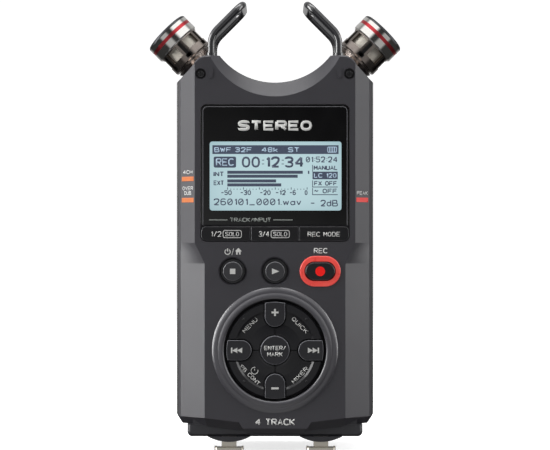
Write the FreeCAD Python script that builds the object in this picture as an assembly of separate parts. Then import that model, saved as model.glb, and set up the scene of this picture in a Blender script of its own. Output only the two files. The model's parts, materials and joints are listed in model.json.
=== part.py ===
import FreeCAD, Part
import math
import os

# Handheld stereo recorder, standing upright. Millimetres.
# X runs to the user's right, Y runs from the face into the case, Z runs up.
# The face looks along -Y. Z = 0 is the lowest point, the feet of the jack latches.

V = FreeCAD.Vector

# ---- driving dimensions -------------------------------------------------------

HALF_WIDTH = 35.0
BODY_BOTTOM = 9.1
SHOULDER_Z = 130.5
EAR_TOP = 139.9
FACE_Y = -16.4
BACK_Y = 17.0
PARTING_Y = -4.0
WALL = 1.8
CAVITY_TOP = 128.4
FRONT_CAVITY_TOP = 124.2
REAR_FILLET = 3.2

# sloping bevels beside the face
BEVEL_DROP = 6.0
BEVEL_OUTER_X = 33.5
LEDGE_RISE = 0.45
LEDGE_ROUND = 0.5
BEVEL_INNER_HIGH = 28.3
BEVEL_INNER_LOW = 24.8
BEVEL_HIGH_Z = 73.5
BEVEL_LOW_Z = 66.2
LOWER_CREASE_Z = 11.8
LIP_BACK_Y = -12.9

# round notch between the ears
NOTCH_RADIUS = 25.0
NOTCH_CENTRE_Z = 155.3
NOTCH_FACE_RADIUS = 25.6
NOTCH_FACE_CENTRE_Z = 150.7
NOTCH_BEVEL_DEPTH = 4.0

# microphones
PIVOT_X = 25.1
PIVOT_Z = 135.2
BAY_HALF = 9.0
BAY_FLOOR_Z = 132.5
KNUCKLE_RADIUS = 4.5
KNUCKLE_HALF = 8.5
PIN_RADIUS = 1.25
PIN_HALF = 13.5
PIN_CLEARANCE = 0.05
MIC_TILT = 45.0
COLLAR_START = 3.9
COLLAR_END = 5.6
BARREL_START = 6.3
BARREL_END = 13.7
CAP_END = 20.4
COLLAR_RADIUS = 7.5
BARREL_RADIUS = 8.05
CAP_RADIUS = 8.75
CAPSULE_RADIUS = 6.75
BAND_START = 16.6
BAND_END = 17.9

# microphone guards
GUARD_RADIUS = 1.3
GUARD_X = 22.6
GUARD_Y = 12.3
GUARD_TIP_X = 11.5
GUARD_TIP_Z = 158.2

# display
PANEL_HALF = 26.3
PANEL_BOTTOM = 73.9
PANEL_TOP = 122.4
PANEL_DEPTH = 1.2
WINDOW_BOTTOM = 79.75
LCD_HALF = 24.4
LCD_BOTTOM = 83.2
LCD_TOP = 111.0

# keys
KEY_BACK_Y = -14.0
MAT_Y = -13.25
BOARD_Y = -12.0
BOARD_THICK = 1.6
KEY_GAP = 0.28
FUNCTION_KEY_TOP = 79.25
FUNCTION_DIVIDER_X = 8.5
ROUND_KEY_Z = 63.5
ROUND_KEY_RADIUS = 3.4
ROUND_KEY_FLANGE = 4.25
ROUND_KEY_HOLE = 4.55
ROUND_KEY_DISH = 5.1
STOP_X = -14.9
PLAY_X = 0.0
REC_X = 15.9
WHEEL_Z = 35.7
WHEEL_KEY_RADIUS = 17.05
WHEEL_BORE = 18.0
WHEEL_RING_OUTER = 22.2
WHEEL_SEAT = 19.4
ENTER_RADIUS = 5.15
TONGUE_WIDTH = 7.1
TONGUE_GAP = 0.45
TONGUE_INNER = 8.25

# jacks at the bottom end
JACK_X = 16.3
JACK_Y = 2.0
JACK_RADIUS = 10.5
JACK_TOP = 24.0
BLOCK_HALF = 31.1
BLOCK_BOTTOM = 4.8
BLOCK_FRONT_Y = -12.6
BLOCK_BACK_Y = 15.4
LATCH_Y = -10.9

# battery bay in the back
BAY_X = 22.3
BAY_BOTTOM = 47.8
BAY_TOP = 103.2
CELL_RADIUS = 7.1
CELL_PITCH = 14.75
CELL_LENGTH = 49.5
CELL_Y = 7.5
COVER_HALF = 24.5
COVER_BOTTOM = 46.0
COVER_TOP = 106.0
COVER_TRAVEL = 5.5
RECESS_DEPTH = 1.7

# tripod socket in the back, quarter inch
TRIPOD_Z = 31.2
TRIPOD_BORE = 3.175
TRIPOD_DEPTH = 8.0
TRIPOD_OUTER = 4.6

SCREW_X = 29.4
SCREW_HEIGHTS = (38.0, 110.0)
FOOT_X = 27.0
FOOT_HEIGHTS = (17.5, 121.0)
FOOT_RADIUS = 3.2
FOOT_PROUD = 0.5
SHOULDER_SCREW_X = 26.2
SHOULDER_SCREW_Z = 133.1
SPEAKER_Z = 117.3
SPEAKER_RADIUS = 8.2

# controls on the left and right sides: lowest and highest point of each
SIDE_Y0 = -1.0
SIDE_Y1 = 5.0
SIDE_PROUD = 0.5
VOLUME_Z = (113.3, 118.4)
HOLD_Z = (100.2, 105.3)
INPUT_Z = (80.5, 85.3)
LEVEL_Z = (94.0, 104.0)
SWITCH_TRAVEL = 2.0
SIDE_GAP = 0.25
DOOR_Z = (52.0, 71.0)
DOOR_Y = (-2.5, 6.5)
DOOR_PIN_X = 34.3
DOOR_ROUND = 0.65
DOOR_PIN_RADIUS = 0.4
DOOR_PIN_CLEARANCE = 0.05
USB_Z = 25.0
SIDE_JACK_HEIGHTS = (58.0, 46.0)
SIDE_AXIS_Y = 2.0


# ---- shape helpers ------------------------------------------------------------

def box(x0, x1, y0, y1, z0, z1):
    return Part.makeBox(x1 - x0, y1 - y0, z1 - z0, V(x0, y0, z0))


def rod_x(y, z, radius, x0, x1):
    return Part.makeCylinder(radius, x1 - x0, V(x0, y, z), V(1, 0, 0))


def rod_y(x, z, radius, y0, y1):
    return Part.makeCylinder(radius, y1 - y0, V(x, y0, z), V(0, 1, 0))


def rod_z(x, y, radius, z0, z1):
    return Part.makeCylinder(radius, z1 - z0, V(x, y, z0), V(0, 0, 1))


def plate_y(corners, y0, y1):
    """A flat outline of (x, z) corners, thickened from y0 to y1."""
    wire = Part.makePolygon([V(x, y0, z) for x, z in corners] + [V(corners[0][0], y0, corners[0][1])])
    return Part.Face(wire).extrude(V(0, y1 - y0, 0))


def plate_z(corners, z0, z1):
    """A flat outline of (x, y) corners, thickened from z0 to z1."""
    wire = Part.makePolygon([V(x, y, z0) for x, y in corners] + [V(corners[0][0], corners[0][1], z0)])
    return Part.Face(wire).extrude(V(0, 0, z1 - z0))


def fillet(shape, radius, wanted):
    """Rounds the edges for which wanted(edge) is true."""
    edges = [edge for edge in shape.Edges if wanted(edge)]
    return shape.makeFillet(radius, edges)


def chamfer(shape, size, wanted):
    edges = [edge for edge in shape.Edges if wanted(edge)]
    return shape.makeChamfer(size, edges)


def along(axis):
    """A test for straight edges that run along one axis: 0 is X, 1 is Y, 2 is Z."""
    def test(edge):
        if edge.Curve.TypeId != "Part::GeomLine":
            return False
        direction = edge.Curve.Direction
        return abs((direction.x, direction.y, direction.z)[axis]) > 0.999
    return test


def at_y(level):
    """A test for edges that lie in the plane Y = level."""
    def test(edge):
        bounds = edge.BoundBox
        return abs(bounds.YMin - level) < 0.01 and abs(bounds.YMax - level) < 0.01
    return test


def slab_y(x0, x1, z0, z1, radius, y0, y1):
    """A plate facing along Y whose four corners are rounded."""
    return fillet(box(x0, x1, y0, y1, z0, z1), radius, along(1))


def mirrored(shape):
    """The same shape on the other side of the case."""
    return shape.mirror(V(0, 0, 0), V(1, 0, 0))


def both_sides(shape):
    return [shape, mirrored(shape)]


def fused(shapes):
    return shapes[0].fuse(shapes[1:]).removeSplitter()


def rounded_path(points, radii):
    """A wire of straight runs whose inner corners are tangent arcs."""
    edges = []
    start = points[0]
    for corner, following, radius in zip(points[1:-1], points[2:], radii):
        back = (start - corner).normalize()
        ahead = (following - corner).normalize()
        half = 0.5 * (math.pi - back.getAngle(ahead))
        tangent = radius * math.tan(half)
        first = corner + back * tangent
        last = corner + ahead * tangent
        bisector = (back + ahead).normalize()
        middle = corner + bisector * (radius / math.cos(half) - radius)
        edges.append(Part.LineSegment(start, first).toShape())
        edges.append(Part.Arc(first, middle, last).toShape())
        start = last
    edges.append(Part.LineSegment(start, points[-1]).toShape())
    return Part.Wire(edges)


# ---- case ---------------------------------------------------------------------

def outline(y0, y1):
    """The silhouette of the case with its two ears, from y0 to y1."""
    left = [V(-33.0, y0, BODY_BOTTOM), V(-HALF_WIDTH, y0, 12.8), V(-HALF_WIDTH, y0, SHOULDER_Z),
            V(-28.6, y0, 136.5)]
    ear_end = V(-25.0, y0, 139.5)
    top = V(-19.2, y0, EAR_TOP)

    def flip(point):
        return V(-point.x, point.y, point.z)

    edges = [Part.LineSegment(a, b).toShape() for a, b in zip(left, left[1:])]
    edges.append(Part.Arc(left[-1], V(-27.2, y0, 138.5), ear_end).toShape())
    edges.append(Part.LineSegment(ear_end, top).toShape())
    edges.append(Part.LineSegment(top, flip(top)).toShape())
    edges.append(Part.LineSegment(flip(top), flip(ear_end)).toShape())
    edges.append(Part.Arc(flip(ear_end), V(27.2, y0, 138.5), flip(left[-1])).toShape())
    right = [flip(point) for point in reversed(left)]
    edges += [Part.LineSegment(a, b).toShape() for a, b in zip(right, right[1:])]
    edges.append(Part.LineSegment(right[-1], left[0]).toShape())
    body = Part.Face(Part.Wire(edges)).extrude(V(0, y1 - y0, 0))
    return body.cut(rod_y(0, NOTCH_CENTRE_Z, NOTCH_RADIUS, y0 - 1, y1 + 1))


def bevel_section(inner_x, z, shift):
    """The cross-section that is cut away outside one bevel and its narrow outer ledge, at height z."""
    ledge_y = FACE_Y + BEVEL_DROP + LEDGE_RISE
    corner = [(inner_x, FACE_Y), (BEVEL_OUTER_X, FACE_Y + BEVEL_DROP), (HALF_WIDTH - LEDGE_ROUND, ledge_y),
              (HALF_WIDTH, ledge_y + LEDGE_ROUND), (HALF_WIDTH + 6, ledge_y + LEDGE_ROUND),
              (HALF_WIDTH + 6, FACE_Y - 6), (inner_x, FACE_Y - 6)]
    points = [V(x - shift, y + shift, z) for x, y in corner]
    return Part.makePolygon(points + [points[0]])


def bevel_cutters(shift):
    """Both bevels: wide below the waist, narrow above it. shift moves them into the case."""
    low = Part.Face(bevel_section(BEVEL_INNER_LOW, 0, shift)).extrude(V(0, 0, BEVEL_LOW_Z))
    waist = Part.makeLoft([bevel_section(BEVEL_INNER_LOW, BEVEL_LOW_Z, shift),
                           bevel_section(BEVEL_INNER_HIGH, BEVEL_HIGH_Z, shift)], True, True)
    high = Part.Face(bevel_section(BEVEL_INNER_HIGH, BEVEL_HIGH_Z, shift)).extrude(V(0, 0, 80))
    cutters = []
    for piece in (low, waist, high):
        cutters += both_sides(piece)
    return cutters


def mic_bay():
    """The open space between the front and the rear ears, with round grooves for the knuckles."""
    space = box(-40, 40, -BAY_HALF, BAY_HALF, BAY_FLOOR_Z, 150)
    groove = rod_y(-PIVOT_X, PIVOT_Z, KNUCKLE_RADIUS + 0.3, -BAY_HALF, BAY_HALF)
    return space.fuse(both_sides(groove))


def pivot_pins():
    return both_sides(rod_y(-PIVOT_X, PIVOT_Z, PIN_RADIUS, -PIN_HALF, PIN_HALF))


def guard():
    """The left guard: a rod bent into a loop over the microphone."""
    elbow_z = GUARD_TIP_Z - (GUARD_X - GUARD_TIP_X)
    foot_z = EAR_TOP - 1.6
    points = [V(-GUARD_X, -GUARD_Y, foot_z), V(-GUARD_X, -GUARD_Y, elbow_z),
              V(-GUARD_TIP_X, -GUARD_Y, GUARD_TIP_Z), V(-GUARD_TIP_X, GUARD_Y, GUARD_TIP_Z),
              V(-GUARD_X, GUARD_Y, elbow_z), V(-GUARD_X, GUARD_Y, foot_z)]
    path = rounded_path(points, [7.5, 4.0, 4.0, 7.5])
    section = Part.Wire(Part.makeCircle(GUARD_RADIUS, points[0], V(0, 0, 1)))
    loop = path.makePipeShell([section], True, False)
    collars = [rod_z(-GUARD_X, y, GUARD_RADIUS + 0.4, foot_z, EAR_TOP + 0.9) for y in (-GUARD_Y, GUARD_Y)]
    return fused([loop] + collars)


def case_screw(x, z):
    """A long screw from the back with a cross recess in its head."""
    shaft = rod_y(x, z, 0.9, -8.5, 13.4)
    head = rod_y(x, z, 1.75, 13.4, 14.9)
    return shaft.fuse(head).cut(cross_recess(x, z, 14.1, 15.0))


def cross_recess(x, z, y0, y1):
    return box(x - 0.9, x + 0.9, y0, y1, z - 0.2, z + 0.2).fuse(box(x - 0.2, x + 0.2, y0, y1, z - 0.9, z + 0.9))


def case_screws():
    return [case_screw(x, z) for x in (-SCREW_X, SCREW_X) for z in SCREW_HEIGHTS]


def shoulder_screws():
    screws = []
    for x in (-SHOULDER_SCREW_X, SHOULDER_SCREW_X):
        head = rod_y(x, SHOULDER_SCREW_Z, 1.25, FACE_Y + 0.6, FACE_Y + 1.9)
        head = fillet(head, 0.25, at_y(FACE_Y + 0.6))
        shaft = rod_y(x, SHOULDER_SCREW_Z, 0.75, FACE_Y + 1.9, -10.2)
        screws.append(head.fuse(shaft).cut(cross_recess(x, SHOULDER_SCREW_Z, FACE_Y + 0.4, FACE_Y + 1.2)))
    return screws


def bevel_light(side, z0, z1):
    """A light pipe that lies flush in a side bevel, just proud of it."""
    slope = BEVEL_DROP / (BEVEL_OUTER_X - BEVEL_INNER_HIGH)
    inner_x, outer_x = 28.7, 33.1
    inner_y = FACE_Y + (inner_x - BEVEL_INNER_HIGH) * slope
    outer_y = FACE_Y + (outer_x - BEVEL_INNER_HIGH) * slope
    corners = [(inner_x, inner_y - 0.15), (outer_x, outer_y - 0.15), (outer_x, outer_y + 1.2), (inner_x, inner_y + 1.2)]
    light = plate_z(corners, z0, z1)
    return mirrored(light) if side < 0 else light


def bevel_lights():
    return [bevel_light(-1, 95.3, 96.9), bevel_light(-1, 87.8, 89.4), bevel_light(1, 87.9, 89.5)]


def wheel_ring():
    """The raised rim about the key wheel, a round inner bead on a wider shoulder, with a spigot into the cover."""
    rim = [V(WHEEL_BORE, 0, FACE_Y), V(WHEEL_BORE, 0, FACE_Y - 0.6), V(WHEEL_BORE + 0.35, 0, FACE_Y - 1.0),
           V(WHEEL_BORE + 1.0, 0, FACE_Y - 1.15), V(WHEEL_BORE + 1.6, 0, FACE_Y - 1.0),
           V(WHEEL_BORE + 2.1, 0, FACE_Y - 0.75), V(WHEEL_RING_OUTER - 1.0, 0, FACE_Y - 0.62),
           V(WHEEL_RING_OUTER, 0, FACE_Y)]
    seat = [V(WHEEL_SEAT, 0, FACE_Y), V(WHEEL_SEAT, 0, FACE_Y + WALL), V(WHEEL_BORE, 0, FACE_Y + WALL)]
    edges = [Part.LineSegment(rim[0], rim[1]).toShape(), Part.Arc(rim[1], rim[2], rim[3]).toShape(),
             Part.Arc(rim[3], rim[4], rim[5]).toShape(), Part.Arc(rim[5], rim[6], rim[7]).toShape(),
             Part.LineSegment(rim[7], seat[0]).toShape(), Part.LineSegment(seat[0], seat[1]).toShape(),
             Part.LineSegment(seat[1], seat[2]).toShape(), Part.LineSegment(seat[2], rim[0]).toShape()]
    ring = Part.Face(Part.Wire(edges)).revolve(V(0, 0, 0), V(0, 0, 1), 360)
    return turned_to_face(ring, 0, WHEEL_Z)


def turned_to_face(shape, x, z):
    """Takes a shape drawn about the Z axis, whose height is its Y, to a place on the face."""
    shape = shape.copy()
    shape.rotate(V(0, 0, 0), V(1, 0, 0), -90)
    shape.translate(V(x, 0, z))
    return shape


def stadium(x, z, width, height, y0, y1):
    """A plate with fully rounded ends, wider than it is high."""
    radius = height / 2
    reach = (width - height) / 2
    middle = box(x - reach, x + reach, y0, y1, z - radius, z + radius)
    return fused([middle, rod_y(x - reach, z, radius, y0, y1), rod_y(x + reach, z, radius, y0, y1)])


def rec_light_ring():
    ring = stadium(REC_X, ROUND_KEY_Z, 14.4, 10.8, FACE_Y - 0.45, FACE_Y + WALL)
    ring = fillet(ring, 0.4, at_y(FACE_Y - 0.45))
    return ring.cut(stadium(REC_X, ROUND_KEY_Z, 11.1, 6.9, FACE_Y - 1, FACE_Y + WALL + 1))


def side_slots():
    """Openings through the left and right side walls."""
    wall_in, wall_out = HALF_WIDTH - WALL - 0.2, HALF_WIDTH + 1
    y0, y1 = SIDE_Y0 - SIDE_GAP, SIDE_Y1 + SIDE_GAP
    slots = [box(-wall_out, -wall_in, y0, y1, VOLUME_Z[0] - SIDE_GAP, VOLUME_Z[1] + SIDE_GAP),
             box(-wall_out, -wall_in, y0, y1, HOLD_Z[0] - SIDE_GAP, HOLD_Z[1] + SWITCH_TRAVEL + SIDE_GAP),
             box(-wall_out, -wall_in, y0, y1, INPUT_Z[0] - SWITCH_TRAVEL - SIDE_GAP, INPUT_Z[1] + SIDE_GAP),
             box(wall_in, wall_out, y0, y1, LEVEL_Z[0] - SIDE_GAP, LEVEL_Z[1] + SIDE_GAP),
             box(HALF_WIDTH - 1.8, wall_out, DOOR_Y[0] - SIDE_GAP, DOOR_Y[1] + SIDE_GAP,
                 DOOR_Z[0] - SIDE_GAP, DOOR_Z[1] + SIDE_GAP),
             box(wall_in - 1, wall_out, -1.2, 3.2, DOOR_Z[0] + 3, DOOR_Z[1] - 3),
             box(wall_in - 1, wall_out, SIDE_AXIS_Y - 1.7, SIDE_AXIS_Y + 1.7, USB_Z - 4.6, USB_Z + 4.6)]
    slots += [rod_x(SIDE_AXIS_Y, z, 3.0, -wall_out, -wall_in + 1) for z in SIDE_JACK_HEIGHTS]
    slots.append(rod_z(DOOR_PIN_X, DOOR_Y[1] - DOOR_ROUND, DOOR_PIN_RADIUS + DOOR_PIN_CLEARANCE,
                       DOOR_Z[0] - 1.2, DOOR_Z[1] + 1.2))
    return slots


def front_cover():
    body = chamfer(outline(FACE_Y, PARTING_Y), 0.5, ear_top_edge).fuse(front_lip())
    body = body.cut(bevel_cutters(0.0)).cut(lower_chamfers())
    body = body.cut([front_cavity(), mic_bay(), notch_bevel()])
    body = body.fuse(cover_bosses() + [index_rib(-22.7), index_rib(22.7)])
    openings = [slab_y(-PANEL_HALF, PANEL_HALF, PANEL_BOTTOM, PANEL_TOP, 2.2, FACE_Y - 1, FACE_Y + PANEL_DEPTH),
                box(-LCD_HALF - 0.1, LCD_HALF + 0.1, FACE_Y, FACE_Y + 3, LCD_BOTTOM - 0.1, LCD_TOP + 0.1),
                slab_y(-PANEL_HALF + 0.1, PANEL_HALF - 0.1, PANEL_BOTTOM + 0.1, FUNCTION_KEY_TOP + 0.15, 1.9,
                       FACE_Y - 1, FACE_Y + 3),
                rod_y(0, WHEEL_Z, WHEEL_SEAT, FACE_Y - 1, FACE_Y + 3),
                stadium(REC_X, ROUND_KEY_Z, 14.4, 10.8, FACE_Y - 1, FACE_Y + 3)]
    for x in (STOP_X, PLAY_X):
        openings.append(rod_y(x, ROUND_KEY_Z, ROUND_KEY_HOLE, FACE_Y - 1, FACE_Y + 3))
        openings.append(Part.makeCone(ROUND_KEY_DISH, ROUND_KEY_HOLE, 0.5, V(x, FACE_Y, ROUND_KEY_Z), V(0, 1, 0)))
    for x in (-SHOULDER_SCREW_X, SHOULDER_SCREW_X):
        openings.append(rod_y(x, SHOULDER_SCREW_Z, 1.9, FACE_Y - 1, FACE_Y + 1.9))
    openings += bevel_lights() + pivot_pins() + shoulder_screws() + case_screws() + both_sides(guard())
    openings.append(connector_block_blank())
    return body.cut(openings).removeSplitter()


def front_cavity():
    room = box(-HALF_WIDTH + WALL, HALF_WIDTH - WALL, FACE_Y + WALL, PARTING_Y + 1, BODY_BOTTOM + WALL,
               FRONT_CAVITY_TOP)
    return room.cut(bevel_cutters(1.5))


def notch_bevel():
    """The slope from the face down into the notch, as an oblique cone."""
    overshoot = -0.25
    circles = []
    for step in (overshoot, 1.0):
        centre_z = NOTCH_FACE_CENTRE_Z + step * (NOTCH_CENTRE_Z - NOTCH_FACE_CENTRE_Z)
        radius = NOTCH_FACE_RADIUS + step * (NOTCH_RADIUS - NOTCH_FACE_RADIUS)
        circles.append(Part.Wire(Part.makeCircle(radius, V(0, FACE_Y + step * NOTCH_BEVEL_DEPTH, centre_z), V(0, 1, 0))))
    return Part.makeLoft(circles, True, True)


def ear_top_edge(edge):
    """True for the face's edges along the tops of the ears."""
    bounds = edge.BoundBox
    return bounds.YMax < FACE_Y + 0.01 and bounds.ZMin > 136.4


def front_lip():
    """The lower rim of the face, which hangs in front of the connector block and is lowest in the middle."""
    left = [(-33.0, BODY_BOTTOM), (-25.0, 7.9), (-13.6, 6.6), (-10.4, 6.3)]
    corners = left + [(-x, z) for x, z in reversed(left)] + [(30.0, 14.0), (-30.0, 14.0)]
    return plate_y(corners, FACE_Y, LIP_BACK_Y)


def lower_chamfers():
    """The 45-degree slopes that take off the lower edge: under the bevels, beside the middle and under it."""
    out_x, out_y = BEVEL_OUTER_X - BEVEL_INNER_LOW, BEVEL_DROP
    run = math.hypot(out_x, out_y)
    normal = V(-out_y / run, -out_x / run, 0)
    along_bevel = V(-out_x / run, out_y / run, 0)
    corner = V(-BEVEL_INNER_LOW, FACE_Y, LOWER_CREASE_Z) - along_bevel * 20
    under_bevel = [corner + normal + V(0, 0, 1), corner - normal * 6 - V(0, 0, 6), corner + normal - V(0, 0, 6)]
    beside = [V(-13.4, FACE_Y - 1, 11.3), V(-8.7, FACE_Y + 6.2, 4.1), V(-8.7, FACE_Y - 1, 4.1)]
    below = [V(-40, FACE_Y - 1, 9.1), V(-40, FACE_Y + 3.6, 4.5), V(-40, FACE_Y - 1, 4.5)]
    cutters = [Part.Face(Part.makePolygon(below + [below[0]])).extrude(V(80, 0, 0))]
    for corners, sweep in ((under_bevel, along_bevel * 40), (beside, V(-34.8, 0, 4.35))):
        cutters += both_sides(Part.Face(Part.makePolygon(corners + [corners[0]])).extrude(sweep))
    return cutters


def index_rib(x):
    return slab_y(x - 0.75, x + 0.75, 131.6, 135.1, 0.7, FACE_Y - 0.3, FACE_Y + 0.5)


def cover_bosses():
    return [rod_y(x, z, 2.3, -9.6, PARTING_Y) for x in (-SCREW_X, SCREW_X) for z in SCREW_HEIGHTS]


def rear_shell():
    body = outline(PARTING_Y, BACK_Y)
    body = fillet(body, REAR_FILLET, at_y(BACK_Y))
    room = box(-HALF_WIDTH + WALL, HALF_WIDTH - WALL, PARTING_Y - 1, BACK_Y - WALL, BODY_BOTTOM + WALL, CAVITY_TOP)
    body = body.cut([room, mic_bay()])
    added = [box(-BAY_X - 1.6, BAY_X + 1.6, -1.5, BACK_Y - WALL, BAY_BOTTOM - 1.6, BAY_TOP + 1.6),
             box(-26.5, 26.5, 13.6, BACK_Y - WALL, 38.0, 108.0),
             rod_y(0, TRIPOD_Z, TRIPOD_OUTER + 1.6, BACK_Y - 9.5, BACK_Y - WALL)]
    for x in (-SCREW_X, SCREW_X):
        for z in SCREW_HEIGHTS:
            added.append(rod_y(x, z, 2.3, PARTING_Y, BACK_Y - WALL))
            added.append(rod_y(x, z, 2.8, 12.0, BACK_Y - WALL))
    body = body.fuse(added)
    cuts = [box(-BAY_X, BAY_X, 0.0, BACK_Y + 1, BAY_BOTTOM, BAY_TOP),
            slab_y(-COVER_HALF - 0.3, COVER_HALF + 0.3, COVER_BOTTOM - COVER_TRAVEL - 0.4, COVER_TOP + 0.3, 1.5,
                   BACK_Y - RECESS_DEPTH, BACK_Y + 1),
            rod_y(0, TRIPOD_Z, TRIPOD_OUTER, BACK_Y - TRIPOD_DEPTH, BACK_Y + 1)]
    cuts += [rod_y(x, z, 2.0, 13.4, BACK_Y + 1) for x in (-SCREW_X, SCREW_X) for z in SCREW_HEIGHTS]
    cuts += [stadium(0, SPEAKER_Z + step * 2.4, 11.0, 1.1, BACK_Y - 3, BACK_Y + 1) for step in range(-2, 3)]
    cuts += side_slots() + pivot_pins() + case_screws() + both_sides(guard()) + rubber_feet()
    cuts.append(connector_block_blank())
    return body.cut(cuts).removeSplitter()


def connector_block_blank():
    """The outer form of the connector block, with a plug that enters the case."""
    skirt = box(-BLOCK_HALF, BLOCK_HALF, BLOCK_FRONT_Y, BLOCK_BACK_Y, BLOCK_BOTTOM, BODY_BOTTOM)
    skirt = fillet(skirt, 1.8, lambda edge: along(1)(edge) and edge.BoundBox.ZMax < BLOCK_BOTTOM + 0.1)
    skirt = chamfer(skirt, 1.0, lambda edge: along(0)(edge) and edge.BoundBox.ZMax < BLOCK_BOTTOM + 0.1)
    plug = box(-29.0, 29.0, -12.4, 14.0, BODY_BOTTOM, BODY_BOTTOM + WALL)
    return fused([skirt, plug])


def latch_house(x):
    """The domed housing in front of one jack, from which its latch lever comes out."""
    dome = Part.makeCylinder(15.8, 4.6, V(x, LATCH_Y - 1.7, 18.7), V(0, 1, 0))
    keep = box(x - 7.65, x + 7.65, LATCH_Y - 1.7, LATCH_Y + 2.9, 2.5, BLOCK_BOTTOM)
    return dome.common(keep)


def connector_block():
    body = connector_block_blank()
    body = body.fuse([latch_house(x) for x in (-JACK_X, JACK_X)])
    cuts = []
    for x in (-JACK_X, JACK_X):
        cuts.append(rod_z(x, JACK_Y, JACK_RADIUS, 0, 30))
        cuts.append(box(x - 2.95, x + 2.95, LATCH_Y - 0.8, LATCH_Y + 0.8, 0, 30))
    return body.cut(cuts).removeSplitter()


def jack(x):
    """A combination jack: a shell with a plug ring round a core, open downwards."""
    shell = rod_z(x, JACK_Y, JACK_RADIUS, BLOCK_BOTTOM - 0.3, JACK_TOP)
    ring = rod_z(x, JACK_Y, 8.9, 0, 20.0).cut(rod_z(x, JACK_Y, 6.9, 0, 20.0))
    core_hole = rod_z(x, JACK_Y, 3.25, 0, 22.0)
    contacts = [rod_z(*place, 0.9, 0, 19.0) for place in contact_places(x)]
    core_step = rod_z(x, JACK_Y, 6.95, 0, BLOCK_BOTTOM + 0.6)
    return shell.cut([ring, core_hole, core_step] + contacts)


def contact_places(x):
    """The three XLR contacts on a circle round the jack's axis."""
    return [(x + 5.0 * math.cos(math.radians(angle)), JACK_Y + 5.0 * math.sin(math.radians(angle)))
            for angle in (30, 150, 270)]


def jack_contacts():
    contacts = []
    for x in (-JACK_X, JACK_X):
        for place in contact_places(x):
            contacts.append(rod_z(*place, 0.9, 9.0, 19.0).cut(rod_z(*place, 0.55, 8.0, 16.0)))
    return contacts


def latch(x):
    """The sprung lever that frees an XLR plug: a flat stem with a foot for the finger."""
    stem = box(x - 2.65, x + 2.65, LATCH_Y - 0.5, LATCH_Y + 0.5, 0.9, 10.5)
    foot = box(x - 5.2, x + 5.2, LATCH_Y - 2.2, LATCH_Y + 2.2, 0.0, 0.9)
    foot = fillet(foot, 1.6, along(2))
    lips = [box(side - 0.35, side + 0.35, LATCH_Y - 0.6, LATCH_Y + 0.6, 0.5, 1.3) for side in (x - 4.8, x + 4.8)]
    return fused([stem, foot] + lips)


# ---- microphones --------------------------------------------------------------

def placed_mic(shape):
    """Takes a shape drawn along +Z from the pivot to the left microphone, tilted outwards."""
    shape = shape.copy()
    shape.rotate(V(0, 0, 0), V(0, 1, 0), -MIC_TILT)
    shape.translate(V(-PIVOT_X, 0, PIVOT_Z))
    return shape


def mic_base():
    knuckle = rod_y(0, 0, KNUCKLE_RADIUS, -KNUCKLE_HALF, KNUCKLE_HALF)
    neck = rod_z(0, 0, 4.4, 0, COLLAR_START)
    collar = Part.makeCone(6.3, COLLAR_RADIUS, COLLAR_END - COLLAR_START, V(0, 0, COLLAR_START))
    spigot = rod_z(0, 0, 6.6, COLLAR_END, BARREL_START)
    base = fused([knuckle, neck, collar, spigot])
    return placed_mic(base.cut(rod_y(0, 0, PIN_RADIUS + PIN_CLEARANCE, -10, 10)))


def mic_barrel():
    """The slotted sleeve: six windows with T-shaped slots between them, one of which faces the front."""
    tube = rod_z(0, 0, BARREL_RADIUS, BARREL_START, BARREL_END).cut(rod_z(0, 0, CAPSULE_RADIUS, 0, 30))
    tube = chamfer(tube, 0.35, lambda edge: edge.BoundBox.ZMax < BARREL_START + 0.01 and edge.BoundBox.XLength > 14)
    window = box(-2.5, 2.5, 5.5, 10, BARREL_START + 2.9, BARREL_END - 0.4)
    slot = box(-0.6, 0.6, 5.5, 10, BARREL_START + 0.9, BARREL_END - 0.4)
    bar = box(-1.2, 1.2, 5.5, 10, BARREL_START + 0.9, BARREL_START + 2.3)
    cuts = []
    for turn in range(6):
        for tool, offset in ((window, 30), (slot, 0), (bar, 0)):
            piece = tool.copy()
            piece.rotate(V(0, 0, 0), V(0, 0, 1), 60 * turn + offset)
            cuts.append(piece)
    return placed_mic(tube.cut(cuts))


def mic_capsule():
    """The capsule with its mesh sleeve and the grille over its end."""
    sleeve = rod_z(0, 0, CAPSULE_RADIUS, BARREL_START, BARREL_END + 3.0)
    grille = rod_z(0, 0, 7.3, CAP_END - 1.1, CAP_END - 0.6)
    return [placed_mic(sleeve), placed_mic(grille)]


def mic_cap():
    tube = rod_z(0, 0, CAP_RADIUS, BARREL_END, CAP_END)
    tube = fillet(tube, 1.1, lambda edge: edge.BoundBox.ZMin > CAP_END - 0.01)
    tube = chamfer(tube, 0.4, lambda edge: edge.BoundBox.ZMax < BARREL_END + 0.01)
    bore = rod_z(0, 0, 7.3, 0, CAP_END - 0.6).fuse(rod_z(0, 0, 6.9, 0, 30))
    groove = rod_z(0, 0, 10, BAND_START, BAND_END).cut(rod_z(0, 0, CAP_RADIUS - 0.4, 0, 30))
    return placed_mic(tube.cut([bore, groove]))


def mic_band():
    return placed_mic(rod_z(0, 0, CAP_RADIUS - 0.08, BAND_START, BAND_END).cut(rod_z(0, 0, CAP_RADIUS - 0.4, 0, 30)))


# ---- display, board and inner pieces --------------------------------------------

def display_window():
    y0, y1 = FACE_Y - 0.05, FACE_Y + PANEL_DEPTH
    panel = slab_y(-PANEL_HALF + 0.06, PANEL_HALF - 0.06, PANEL_BOTTOM + 0.06, PANEL_TOP - 0.06, 2.1, y0, y1)
    panel = panel.cut(box(-30, 30, y0 - 1, y1 + 1, 70, WINDOW_BOTTOM))
    return chamfer(panel, 0.12, at_y(y0))


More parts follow.
